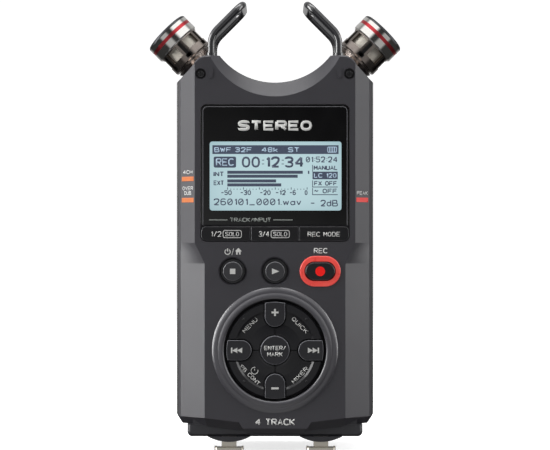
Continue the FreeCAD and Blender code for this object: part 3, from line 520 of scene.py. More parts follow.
LETTERS = {
    "A": "00 4c 80|14 74", "B": "00 0c|~0c 4c 7c 76 46 06|~06 46 86 80 40 00", "C": "~8a 8c 0c 00 80 82",
    "D": "00 0c|~0c 3c 8c 80 30 00", "E": "8c 0c 00 80|06 76", "F": "8c 0c 00|06 76",
    "H": "00 0c|80 8c|06 86",
    "I": "00 0c", "K": "00 0c|8c 05|27 80", "L": "0c 00 70", "M": "00 0c|0c 44|44 8c|8c 80",
    "N": "00 0c|0c 80|80 8c",
    "O": "@0c 8c 80 00", "P": "00 0c|~0c 4c 8c 86 46 06", "Q": "@0c 8c 80 00|43 80",
    "R": "00 0c|~0c 4c 8c 86 46 06|46 80", "S": "~8a 8c 0c 06 86 80 00 02", "T": "0c 8c|4c 40",
    "U": "~0c 04 00 80 84 8c", "V": "0c 40|40 8c", "W": "0c 20|20 4a|4a 60|60 8c", "X": "00 8c|0c 80",
    "a": "@67 07 00 60|68 60", "d": "@68 08 00 60|6c 60", "k": "0c 00|68 03|25 60", "v": "08 30|30 68",
    "w": "08 20|20 47|47 60|60 88", "0": "@0c 7c 70 00", "1": "19 3c|3c 30", "2": "~09 0c 7c 77 32 00|00 70",
    "3": "~0a 0c 7c 76 26|~26 76 70 00 02", "4": "60 6c|6c 04|04 84", "5": "7c 0c 07|~07 47 77 70 00 02",
    "Ø": "@0c 7c 70 00|13 69", "6": "~7b 6c 0c 04 04|@07 77 70 00", "8": "@0c 7c 76 06|@06 76 70 00",
    ":": "13 14|18 19", ".": "00 01",
    "_": "00 80", "-": "06 66", "/": "00 6c", "~": "~05 2a 53 88", " ": "",
}


@dataclass(frozen=True)
class Pen:
    """Draws letters as strokes of one width, on a grid of eight units by twelve."""

    stroke: float
    thickness: float
    gap: float = 3.2
    blank: float = 4.5

    @staticmethod
    def _point(code: str) -> tuple[float, float]:
        """A place on the grid from two digits of base sixteen."""
        return int(code[0], 16), int(code[1], 16)

    def _strokes(self, words: str) -> tuple[list[tuple[str, list[tuple[float, float]]]], float]:
        """All strokes of the words in grid units, and the words' whole width."""
        found, start = [], 0.0
        for letter in words:
            codes = [chunk for chunk in LETTERS[letter].split("|") if chunk]
            width = 0.0
            for chunk in codes:
                kind = chunk[0] if chunk[0] in "~@" else "|"
                points = [self._point(code) for code in chunk.lstrip("~@").split()]
                width = max(width, *(x for x, _ in points))
                found.append((kind, [(x + start, z) for x, z in points]))
            start += (width if codes else self.blank) + self.gap
        return found, start - self.gap

    def write(self, words: str, x0: float, x1: float, z0: float, z1: float) -> bmesh.types.BMesh:
        """Draw words into a box, as flattened round strokes.

        Args:
            words: What is written.
            x0: Left side of the box.
            x1: Right side.
            z0: Foot of the capitals.
            z1: Top of the capitals.

        Returns:
            The strokes as a mesh, with their middle at y = 0.
        """
        found, width = self._strokes(words)
        half = self.stroke / 2
        wide = (x1 - x0 - self.stroke) / max(width, 1.0)
        tall = (z1 - z0 - self.stroke) / 12
        curve = bpy.data.curves.new("strokes", "CURVE")
        curve.dimensions = "3D"
        curve.resolution_u = 3
        curve.bevel_depth = half
        curve.bevel_resolution = 1
        curve.use_fill_caps = True
        for kind, points in found:
            spline = curve.splines.new("POLY" if kind == "|" else "NURBS")
            spline.points.add(len(points) - 1)
            for slot, (x, z) in zip(spline.points, points):
                slot.co = (x0 + half + x * wide, 0, z0 + half + z * tall, 1)
            if kind != "|":
                spline.use_cyclic_u = kind == "@"
                spline.use_endpoint_u = kind == "~"
                spline.order_u = 3
        holder = bpy.data.objects.new("strokes", curve)
        mesh = bpy.data.meshes.new_from_object(holder)
        bpy.data.objects.remove(holder)
        bpy.data.curves.remove(curve)
        part = bmesh.new()
        part.from_mesh(mesh)
        bpy.data.meshes.remove(mesh)
        bmesh.ops.remove_doubles(part, verts=part.verts, dist=1e-4)
        bmesh.ops.scale(part, vec=(1, self.thickness / self.stroke, 1), verts=part.verts)
        bmesh.ops.recalc_face_normals(part, faces=part.faces)
        return part


class Sheet:
    """Flat raised marks, drawn in millimetres: x to the right, z up, standing out towards -y from y = 0."""

    def __init__(self, thickness: float = 0.10, sunk: float = 0.06) -> None:
        """Start an empty sheet.

        Args:
            thickness: Of each mark.
            sunk: How far each mark goes below the surface it is on.
        """
        self.bm = bmesh.new()
        self.thickness = thickness
        self.sunk = sunk

    def _grow(self, part: bmesh.types.BMesh) -> None:
        """Thicken flat faces into closed plates and take them into the sheet."""
        bmesh.ops.recalc_face_normals(part, faces=part.faces)
        flat = list(part.faces)
        for face in flat:
            face.normal_update()
            if face.normal.y < 0:
                face.normal_flip()
        grown = bmesh.ops.extrude_face_region(part, geom=flat, use_keep_orig=True)
        moved = [item for item in grown["geom"] if isinstance(item, bmesh.types.BMVert)]
        bmesh.ops.translate(part, vec=(0, -self.thickness, 0), verts=moved)
        bmesh.ops.translate(part, vec=(0, self.sunk, 0), verts=part.verts)
        bmesh.ops.recalc_face_normals(part, faces=part.faces)
        self._take(part)

    def _take(self, part: bmesh.types.BMesh) -> None:
        """Move a finished part into the sheet."""
        mesh = bpy.data.meshes.new("part")
        part.to_mesh(mesh)
        part.free()
        self.bm.from_mesh(mesh)
        bpy.data.meshes.remove(mesh)

    def fill(self, points: Sequence[tuple[float, float]]) -> "Sheet":
        """A filled outline."""
        part = bmesh.new()
        part.faces.new([part.verts.new((x, 0, z)) for x, z in points])
        self._grow(part)
        return self

    def band(self, outer: Sequence[tuple[float, float]], inner: Sequence[tuple[float, float]]) -> "Sheet":
        """The band between two outlines with the same number of points."""
        part = bmesh.new()
        edges = []
        for points in (outer, inner):
            loop = [part.verts.new((x, 0, z)) for x, z in points]
            edges += [part.edges.new((a, b)) for a, b in zip(loop, loop[1:] + loop[:1])]
        bmesh.ops.bridge_loops(part, edges=edges)
        self._grow(part)
        return self

    def bar(self, x0: float, x1: float, z0: float, z1: float) -> "Sheet":
        """A plain rectangle."""
        return self.fill([(x0, z0), (x1, z0), (x1, z1), (x0, z1)])

    def arc(self, cx: float, cz: float, radius: float, width: float, start: float, sweep: float) -> "Sheet":
        """A curved stroke; angles in degrees from +x, anticlockwise."""
        part = bmesh.new()
        first = math.radians(start)
        ends = [part.verts.new((cx + r * math.cos(first), 0, cz + r * math.sin(first)))
                for r in (radius - width / 2, radius + width / 2)]
        edge = part.edges.new(ends)
        bmesh.ops.spin(part, geom=[edge, *ends], cent=(cx, 0, cz), axis=(0, -1, 0),
                       angle=math.radians(sweep), steps=max(4, int(sweep / 12)), use_duplicate=False)
        self._grow(part)
        return self

    def text(self, words: str, x0: float, x1: float, z0: float, z1: float, stroke: float = 0.3,
             turn: float = 0.0) -> "Sheet":
        """Words fitted into a box.

        Args:
            words: What is written.
            x0: Left side of the box.
            x1: Right side.
            z0: Foot of the capitals.
            z1: Top of the capitals.
            stroke: Width of the pen.
            turn: Angle of the whole box about its middle, in degrees, anticlockwise.

        Returns:
            This sheet.
        """
        pen = Pen(stroke, self.thickness)
        local = Matrix.Translation((-(x0 + x1) / 2, 0, -(z0 + z1) / 2))
        centre = Matrix.Translation(((x0 + x1) / 2, 0, (z0 + z1) / 2))
        where = centre @ Matrix.Rotation(-math.radians(turn), 4, "Y")
        part = pen.write(words, x0, x1, z0, z1)
        part.transform(where @ local)
        self._take(part)
        return self

    def place(self, name: str, material: bpy.types.Material, body: str, slot: str,
              where: Matrix) -> bpy.types.Object:
        """Turn the sheet into a piece.

        Args:
            name: The piece's name.
            material: Its finish.
            body: The body it rides on.
            slot: The record's slot that its finish stands for; not used.
            where: From the sheet's millimetres to the object's frame in metres.

        Returns:
            The new piece.
        """
        self.bm.transform(where)
        return piece(name, self.bm, material, body)


def on_face(level: float) -> Matrix:
    """Lay a sheet on a surface that faces -Y at a given height in metres."""
    return Matrix.Translation((0, level, 0)) @ Matrix.Scale(MM, 4)


def piece(name: str, bm: bmesh.types.BMesh, material: bpy.types.Material, body: str,
          smooth: float | None = None) -> bpy.types.Object:
    """Make a finished piece from a bmesh whose place is already in metres.

    Args:
        name: The piece's name.
        bm: Its mesh, which is freed.
        material: Its finish.
        body: The body it rides on.
        smooth: Angle in degrees up to which edges are shaded smooth, else flat.

    Returns:
        The new object.
    """
    mesh = bpy.data.meshes.new(name)
    bm.to_mesh(mesh)
    bm.free()
    mesh.materials.append(material)
    made = bpy.data.objects.new(name, mesh)
    bpy.context.scene.collection.objects.link(made)
    if smooth is not None:
        mesh.shade_smooth()
        mesh.set_sharp_from_angle(angle=math.radians(smooth))
    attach(made, body)
    log.info("piece %s on %s: %d faces", name, body, len(mesh.polygons))
    return made


def level_of(node: str) -> float:
    """The outermost (lowest Y) height of a node, in metres."""
    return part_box(node)[0].y


def middle_of(node: str) -> Vector:
    """The middle of a node's box, in millimetres."""
    low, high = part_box(node)
    return (low + high) / 2 / MM


# ---------------------------------------------------------------- finishes of this recorder


@dataclass
class Finishes:
    """Every material of the recorder, built once and handed to the pieces."""

    made: dict[str, bpy.types.Material] = field(default_factory=dict)

    def add(self, finish: object) -> bpy.types.Material:
        """Build a finish unless it is already there."""
        if finish.name not in self.made:
            self.made[finish.name] = finish.make()
        return self.made[finish.name]

    def dress(self, finish: object, *nodes: str) -> None:
        """Give CAD nodes a finish."""
        material = self.add(finish)
        for node in nodes:
            mesh = frame["nodes"][node].data
            mesh.materials.clear()
            mesh.materials.append(material)


# The cover's dark outer strip is painted shade, where the case's sides lie in shadow.
COVER = Moulded("cover_charcoal", rgb("39383d"), roughness=0.44, specular=0.55, painted_shade_strip=(rgb("161617"), 0.0342))
RING = Moulded("ring_charcoal", rgb("49484d"), roughness=0.33, specular=0.7, coat=0.2)
SHELL = Moulded("shell_charcoal", rgb("2c2c2e"), roughness=0.55)
# The edge colour is a painted highlight on the rims of the stop and play keys.
KEYS = Moulded("key_charcoal", rgb("2b2b2f"), roughness=0.40, grain=0.00016, coat=0.4, edge=rgb("5c5c60"))
WHEEL_KEYS = Moulded("wheel_key_black", rgb("19191c"), roughness=0.38, grain=0.00016, depth=0.000008,
                     specular=0.25, coat=0.25)
# The edge colour is a painted highlight on the rims of the wheel's cross keys.
CROSS_KEYS = Moulded("cross_key_black", rgb("202024"), roughness=0.42, grain=0.00016, specular=0.35, coat=0.2,
                     edge=rgb("707076"))
# The edge colour is a painted highlight on the rims of the flat keys.
FUNCTION_KEYS = Moulded("function_key_black", rgb("101013"), roughness=0.36, grain=0.00016, depth=0.00001,
                        specular=0.3, coat=0.3, edge=rgb("4c4c50"))
BLOCK = Moulded("block_charcoal", rgb("37373b"), roughness=0.42)
WINDOW = Gloss("window_black", rgb("060607"))
# The white ink's glow is painted light that brightens the print.
WHITE_INK = Ink("white_ink", rgb("e4e4e1"), glow=0.06)
GREY_INK = Ink("grey_ink", rgb("8f9490"))
ICON_INK = Ink("icon_white", rgb("e6e6e3"), roughness=0.4)
# The red ink's glow is painted light; the dot is print, not a lamp.
RED_INK = Ink("record_red", rgb("e8100a"), roughness=0.45, glow=0.35)
RING_GLOW = Glow("record_ring_red", rgb("d03632"), rgb("de564c"), 0.46)
LAMPS = Glow("bevel_lamps", rgb("b8561c"), rgb("d07a40"), 0.28, other=(rgb("c8201c"), rgb("dd3a34")))
LATCH = Metal("latch_nickel", rgb("dcd6ca"), roughness=0.3, cut=Cut.BRUSHED)
SCREW = Metal("screw_zinc", rgb("8c8a86"), roughness=0.35, cut=Cut.ROLLED)
BLACK_SCREW = Metal("screw_black", rgb("5a5a5c"), roughness=0.24, cut=Cut.ROLLED)
BRASS = Metal("brass_turned", rgb("c9a45a"), roughness=0.3, cut=Cut.TURNED, axis=(0.0, 1.0, 0.0))
ROD = Moulded("rod_black", rgb("222225"), roughness=0.26, grain=0.0006, depth=0.000006, drift=0.08,
              specular=0.8, coat=0.5)
RUBBER = Moulded("rubber_black", rgb("161616"), roughness=0.8, grain=0.0003)
SILICONE = Moulded("silicone_grey", rgb("3c3c40"), roughness=0.7)
SOCKET = Moulded("socket_black", rgb("101012"), roughness=0.45)
CELL = Gloss("cell_jacket", rgb("1f4f7a"), roughness=0.25)


# ---------------------------------------------------------------- display


@dataclass
class Display:
    """The screen behind the black window, with what it shows."""

    left: float = -23.0
    right: float = 23.4
    foot: float = 84.9
    top: float = 109.2
    corner: float = 0.9
    cell: float = 0.36
    inset: float = 0.72

    def screen(self, finishes: Finishes) -> None:
        """The lit rectangle."""
        level = level_of("display_window")
        centre = ((self.left + self.right) / 2 * MM, level, (self.foot + self.top) / 2 * MM)
        half = ((self.right - self.left) / 2 * MM, (self.top - self.foot) / 2 * MM)
        lit = LitScreen("screen_light", rgb("c3dfe4"), rgb("9dbdc6"), self.cell * MM, centre, half)
        sheet = Sheet(thickness=0.06, sunk=0.04)
        sheet.fill(rounded(self.left, self.right, self.foot, self.top, self.corner))
        sheet.place("screen", finishes.add(lit), "case", "lcd_glass", on_face(level))

    def spot(self, across: float, down: float) -> tuple[float, float]:
        """A place on the screen, counted from its upper left corner."""
        return self.left + across, self.top - down

    def box(self, x0: float, x1: float, y0: float, y1: float) -> tuple[float, float, float, float]:
        """A box on the screen from distances across and down to sheet sides."""
        left, top = self.spot(x0, y0)
        right, foot = self.spot(x1, y1)
        return left, right, foot, top

    def marks(self, finishes: Finishes) -> None:
        """The dark picture cells: status bar, counter, level bars, scale, boxes and file line."""
        dark = Sheet(thickness=0.04, sunk=0.005)
        dark.bar(*self.box(0.95, 45.4, 1.3, 4.4))
        dark.fill(rounded(*self.box(1.4, 9.3, 5.3, 9.2), 0.6))
        dark.text("00:12:34", *self.box(11.2, 33.3, 5.2, 9.25), stroke=0.82)
        dark.text("Ø1:52:24", *self.box(33.8, 45.1, 5.25, 7.4), stroke=0.4)
        dark.text("INT", *self.box(1.3, 5.05, 10.55, 12.35), stroke=0.42)
        dark.text("EXT", *self.box(1.3, 5.05, 13.65, 15.45), stroke=0.42)
        for end, down in ((32.8, 10.35), (31.0, 11.75), (23.4, 13.4), (25.2, 14.8)):
            dark.bar(*self.box(6.2, end, down - 0.06, down + 1.02))
        dark.bar(*self.box(34.6, 35.1, 10.3, 11.4))
        for step in range(26):
            tall = 0.8 if step % 5 == 0 else 0.35
            across = 6.3 + 28.0 * step / 25
            dark.bar(*self.box(across - 0.13, across + 0.13, 16.95 - tall, 16.95))
        scale = (("-50", 3.9, 7.8), ("-30", 10.7, 14.6), ("-20", 17.6, 21.5), ("-12", 23.1, 26.8),
                 ("-6", 28.0, 30.4), ("0", 33.4, 34.5))
        for words, x0, x1 in scale:
            dark.text(words, *self.box(x0, x1, 17.1, 18.9), stroke=0.4)
        dark.text("26Ø1Ø1_ØØØ1.wav", *self.box(1.35, 32.3, 20.0, 22.5), stroke=0.44)
        dark.text("- 2dB", *self.box(35.4, 45.2, 20.5, 22.9), stroke=0.44)
        self.mode_boxes(dark)
        level = level_of("display_window") - 0.02 * MM
        ink = finishes.add(Ink("screen_slate", rgb("3c4456"), glow=0.5))
        dark.place("screen_marks", ink, "case", "lcd_glass", on_face(level))

    def mode_boxes(self, dark: Sheet) -> None:
        """The four little boxes at the right of the screen."""
        dark.text("MANUAL", *self.box(36.6, 45.1, 8.35, 10.1), stroke=0.42)
        dark.bar(*self.box(36.1, 36.35, 8.2, 10.6))
        dark.bar(*self.box(36.2, 45.1, 10.6, 13.3))
        for top, foot, words in ((13.7, 16.0, "FX OFF"), (16.4, 18.7, "~ OFF")):
            x0, x1, z0, z1 = self.box(36.2, 45.1, top, foot)
            dark.bar(x0 - 0.1, x1, z0 - 0.16, z0 + 0.12)
            dark.bar(x0 - 0.1, x0 + 0.16, z0, z1)
            dark.text(words, x0 + 0.5, x1 - 0.2, z0 + 0.4, z1 - 0.15, stroke=0.42)

    def reversed_marks(self, finishes: Finishes) -> None:
        """The pale marks that stand on the dark bars."""
        pale = Sheet(thickness=0.03, sunk=0.0)
        for words, left, right in (("BWF", 1.6, 7.6), ("32F", 8.95, 14.9), ("48k", 18.2, 24.0),
                                   ("ST", 27.55, 31.65)):
            pale.text(words, *self.box(left, right, 2.0, 3.8), stroke=0.36)
        x0, x1, z0, z1 = self.box(41.4, 44.8, 1.8, 3.9)
        pale.band(rounded(x0, x1, z0, z1, 0.5), rounded(x0 + 0.3, x1 - 0.3, z0 + 0.3, z1 - 0.3, 0.25))
        for cell in range(3):
            start = x0 + 0.7 + 0.8 * cell
            pale.bar(start, start + 0.42, z0 + 0.3, z1 - 0.3)
        pale.text("REC", *self.box(2.2, 8.5, 5.9, 8.6), stroke=0.45)
        pale.text("LC 120", *self.box(36.7, 44.7, 11.1, 12.8), stroke=0.34)
        ink = finishes.add(Ink("screen_pale", rgb("93a7b8"), glow=0.7))
        level = level_of("display_window") - 0.055 * MM
        pale.place("screen_reversed_marks", ink, "case", "lcd_glass", on_face(level))

    def rim(self, finishes: Finishes) -> None:
        """A thin light grey band round the window: a painted highlight where the window's bevelled edge
        catches the light.
        """
        low, high = (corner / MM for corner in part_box("display_window"))
        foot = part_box("track_a_key")[0].z / MM
        outer = rounded(low.x + self.inset, high.x - self.inset, foot + self.inset, high.z - self.inset, 1.6)
        wide = self.inset + 0.24
        inner = rounded(low.x + wide, high.x - wide, foot + wide, high.z - wide, 1.4)
        sheet = Sheet(thickness=0.06, sunk=0.04).band(outer, inner)
        bmesh.ops.bisect_plane(sheet.bm, geom=[*sheet.bm.verts, *sheet.bm.edges, *sheet.bm.faces],
                               plane_co=(0, 0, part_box("display_window")[0].z / MM), plane_no=(0, 0, -1),
                               clear_outer=True)
        bmesh.ops.holes_fill(sheet.bm, edges=[e for e in sheet.bm.edges if e.is_boundary])
        # Painted highlight: a light grey gloss band where the bevelled edge of the window catches the light.
        edge = finishes.add(Gloss("window_edge_highlight", rgb("6c6c70"), roughness=0.2))
        sheet.place("window_highlight_band", edge, "case", "window_gloss", on_face(level_of("display_window")))

    def build(self, finishes: Finishes) -> None:
        """Make the whole display."""
        finishes.dress(WINDOW, "display_window")
        self.screen(finishes)
        self.marks(finishes)
        self.reversed_marks(finishes)
        self.rim(finishes)


# ---------------------------------------------------------------- printing on the case


@dataclass
class CasePrint:
    """White and coloured print on the cover, the window and the side bevels."""

    title_half: float = 13.1
    title_foot: float = 112.9
    title_top: float = 116.7
    row: float = 81.6
    label_foot: float = 69.75
    face: float = -16.4
    bevel_middle: float = 30.9
    bevel_drop: float = 6.0
    bevel_run: float = 5.2

    def window_print(self, finishes: Finishes) -> None:
        """The title over the screen."""
        sheet = Sheet().text("STEREO", -self.title_half, self.title_half, self.title_foot, self.title_top,
                             stroke=1.08)
        sheet.place("window_title", finishes.add(WHITE_INK), "case", "window_gloss",
                    on_face(level_of("display_window")))
        row = Sheet().text("TRACK/INPUT", -15.9, -1.3, self.row - 0.8, self.row + 0.8, stroke=0.36)
        row.bar(-23.3, -16.7, self.row - 0.2, self.row + 0.2).bar(-0.6, 6.2, self.row - 0.2, self.row + 0.2)
        row.place("window_row_label", finishes.add(GREY_INK), "case", "window_gloss",
                  on_face(level_of("display_window")))

    def cover_print(self, finishes: Finishes) -> None:
        """Marks over the round keys and the line at the foot of the cover."""
        face = level_of("display_window") + 0.05 * MM
        sheet = Sheet().text("REC", 13.7, 18.45, self.label_foot, self.label_foot + 1.95, stroke=0.36)
        self.power_mark(sheet, -16.7, 70.35)
        sheet.fill([(-15.3, 69.2), (-15.1, 69.2), (-14.45, 71.6), (-14.65, 71.6)])
        self.house_mark(sheet, -12.9, 69.4)
        sheet.text("4 TRACK", -7.0, 7.1, 9.15, 11.6, stroke=0.5)
        sheet.place("cover_marks", finishes.add(WHITE_INK), "case", "cover_plastic", on_face(face))

    @staticmethod
    def power_mark(sheet: Sheet, x: float, z: float) -> None:
        """A broken ring with a stroke through its gap."""
        sheet.arc(x, z, 0.92, 0.3, 120, 300)
        sheet.bar(x - 0.15, x + 0.15, z + 0.1, z + 1.25)

    @staticmethod
    def house_mark(sheet: Sheet, x: float, z: float) -> None:
        """A small house."""
        sheet.fill([(x - 0.8, z), (x - 0.25, z), (x - 0.25, z + 0.75), (x + 0.25, z + 0.75), (x + 0.25, z),
                    (x + 0.8, z), (x + 0.8, z + 1.15), (x + 1.2, z + 1.15), (x, z + 2.35),
                    (x - 1.2, z + 1.15), (x - 0.8, z + 1.15)])

    def bevel_print(self, finishes: Finishes) -> None:
        """Tiny words beside the lamps, laid on the sloping bevels."""
        slope = math.atan2(self.bevel_drop, self.bevel_run)
        middle = self.face + self.bevel_drop / 2
        for name, side, lines in (
                ("left", -1, (("4CH", 2.7, 97.8), ("OVER", 3.0, 92.1), ("DUB", 2.0, 90.4))),
                ("right", 1, (("PEAK", 3.1, 90.4),))):
            sheet = Sheet(thickness=0.08, sunk=0.05)
            for words, half, foot in lines:
                sheet.text(words, -half, half, foot, foot + 1.4, stroke=0.26)
            where = Matrix.Translation((side * self.bevel_middle * MM, middle * MM, 0))
            where = where @ Matrix.Rotation(side * slope, 4, "Z") @ Matrix.Scale(MM, 4)
            sheet.place(f"bevel_words_{name}", finishes.add(WHITE_INK), "case", "cover_plastic", where)

    def build(self, finishes: Finishes) -> None:
        """Print everything."""
        self.window_print(finishes)
        self.cover_print(finishes)
        self.bevel_print(finishes)


# ---------------------------------------------------------------- keys


@dataclass
class KeyPad:
    """All keys, with their icons and words."""

    wheel_z: float = 35.7
    ring: float = 13.35

    def icon(self, node: str, finishes: Finishes, draw: Callable[[Sheet], None], ink: object = ICON_INK,
             level: float | None = None) -> None:
        """Draw on one key.

        Args:
            node: The key, which is also the name of its body.
            finishes: The materials.
            draw: Draws the marks on a sheet.
            ink: The finish of the marks.
            level: Surface height in metres, else the key's outermost.
        """
        sheet = Sheet(thickness=0.12, sunk=0.08)
        draw(sheet)
        height = level_of(node) if level is None else level
        sheet.place(node + "_mark", finishes.add(ink), node, "key_plastic", on_face(height))

    def function_keys(self, finishes: Finishes) -> None:
        """The three flat keys under the window."""
        def solo(number: str, x: float) -> Callable[[Sheet], None]:
            """What is drawn on a track key whose number starts at x."""
            def draw(sheet: Sheet) -> None:
                """The number and the framed word."""
                sheet.text(number, x, x + 3.7, 75.6, 77.6, stroke=0.28)
                frame_x = x + 4.2
                sheet.band(rounded(frame_x, frame_x + 6.7, 75.2, 78.0, 0.8),
                           rounded(frame_x + 0.25, frame_x + 6.45, 75.45, 77.75, 0.6))
                sheet.text("SOLO", frame_x + 0.9, frame_x + 5.8, 75.8, 77.4, stroke=0.24)
            return draw

        self.icon("track_a_key", finishes, solo("1/2", -22.6))
        self.icon("track_b_key", finishes, solo("3/4", -5.7))
        self.icon("mode_key", finishes, lambda s: s.text("REC MODE", 11.5, 22.9, 75.7, 77.4, stroke=0.28))

    def round_keys(self, finishes: Finishes) -> None:
        """Stop, play and record."""
        x, z = middle_of("stop_key").x, middle_of("stop_key").z
        self.icon("stop_key", finishes, lambda s: s.bar(x - 0.95, x + 0.95, z - 0.95, z + 0.95))
        p = middle_of("play_key").x
        self.icon("play_key", finishes,
                  lambda s: s.fill([(p - 1.1, z - 1.05), (p + 1.5, z), (p - 1.1, z + 1.05)]))
        r = middle_of("rec_key").x
        self.icon("rec_key", finishes, lambda s: s.fill(circle(r, z, 1.7, 32)), RED_INK)

    def wheel_keys(self, finishes: Finishes) -> None:
        """The four tongues, the middle key and the four quadrants."""
        z, r = self.wheel_z, self.ring
        self.icon("plus_key", finishes, lambda s: s.bar(-1.25, 1.25, z + r - 0.32, z + r + 0.32)
                  .bar(-0.32, 0.32, z + r + 0.3, z + r + 1.25).bar(-0.32, 0.32, z + r - 1.25, z + r - 0.3))
        self.icon("minus_key", finishes, lambda s: s.bar(-1.3, 1.3, z - r - 0.36, z - r + 0.36))

        def skip(sign: int) -> Callable[[Sheet], None]:
            """What is drawn on the key at the right, or with sign -1 at the left."""
            def draw(sheet: Sheet) -> None:
                """Two arrow heads and a bar."""
                for tip in (0.3, 2.0):
                    points = [(sign * (r - 2.1 + tip), z - 0.95), (sign * (r - 0.3 + tip), z),
                              (sign * (r - 2.1 + tip), z + 0.95)]
                    sheet.fill(points if sign > 0 else points[::-1])
                ends = sorted((sign * (r + 1.65), sign * (r + 2.15)))
                sheet.bar(ends[0], ends[1], z - 0.95, z + 0.95)
            return draw

        self.icon("forward_key", finishes, skip(1))
        self.icon("back_key", finishes, skip(-1))

        def enter(sheet: Sheet) -> None:
            """The two words on the middle key."""
            sheet.text("ENTER/", -3.8, 3.8, z + 0.0, z + 1.6, stroke=0.3)
            sheet.text("MARK", -2.75, 2.75, z - 2.2, z - 0.6, stroke=0.3)

        self.icon("enter_key", finishes, enter)
        self.quadrants(finishes)

    def quadrants(self, finishes: Finishes) -> None:
        """Slanting words on the quadrant keys, with a raised dot on each outer band."""
        z = self.wheel_z
        reach = 12.45 / math.sqrt(2)
        level = (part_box("menu_key")[0].y / MM + 0.62) * MM
        for node, words, half, sx, sz in (
                ("menu_key", "MENU", 3.3, -1, 1), ("quick_key", "QUICK", 3.7, 1, 1),
                ("mixer_key", "MIXER", 3.7, 1, -1), ("speed_key", "PB CONT", 4.6, -1, -1)):
            x, zz = sx * reach, z + sz * reach
            turn = 45 if sx * sz < 0 else -45

            def draw(sheet: Sheet) -> None:
                """The quadrant's word, and the timer icon on one of them."""
                sheet.text(words, x - half, x + half, zz - 0.75, zz + 0.75, stroke=0.24, turn=turn)
                if node == "speed_key":
                    sheet.arc(-7.2, z - 7.2, 1.2, 0.22, 75, 300)
                    sheet.bar(-7.3, -7.1, z - 7.2, z - 6.5)

            self.icon(node, finishes, draw, WHITE_INK, level)
            self.dot(node, finishes, sx, sz)

    def dot(self, node: str, finishes: Finishes, sx: int, sz: int) -> None:
        """A small raised dot on a quadrant's outer band."""
        bm = bmesh.new()
        bmesh.ops.create_uvsphere(bm, u_segments=20, v_segments=10, radius=0.42 * MM)
        reach = 15.5 / math.sqrt(2) * MM
        bmesh.ops.scale(bm, vec=(1, 0.55, 1), verts=bm.verts)
        centre = (sx * reach, level_of(node), self.wheel_z * MM + sz * reach)
        bmesh.ops.translate(bm, vec=centre, verts=bm.verts)
        piece(node + "_dot", bm, finishes.add(WHEEL_KEYS), node, smooth=60)

    def build(self, finishes: Finishes) -> None:
        """Dress and mark all keys."""
        finishes.dress(FUNCTION_KEYS, "track_a_key", "track_b_key", "mode_key")
        finishes.dress(KEYS, "stop_key", "play_key")
        finishes.dress(Moulded("record_key_black", rgb("131417"), roughness=0.25, depth=0.000006), "rec_key")
        finishes.dress(CROSS_KEYS, "plus_key", "minus_key", "back_key", "forward_key", "enter_key")
        finishes.dress(WHEEL_KEYS, "menu_key", "quick_key", "mixer_key", "speed_key")
        finishes.dress(RING_GLOW, "rec_light_ring")
        finishes.dress(LAMPS, "bevel_lights")
        self.function_keys(finishes)
        self.round_keys(finishes)
        self.wheel_keys(finishes)


# ---------------------------------------------------------------- microphones


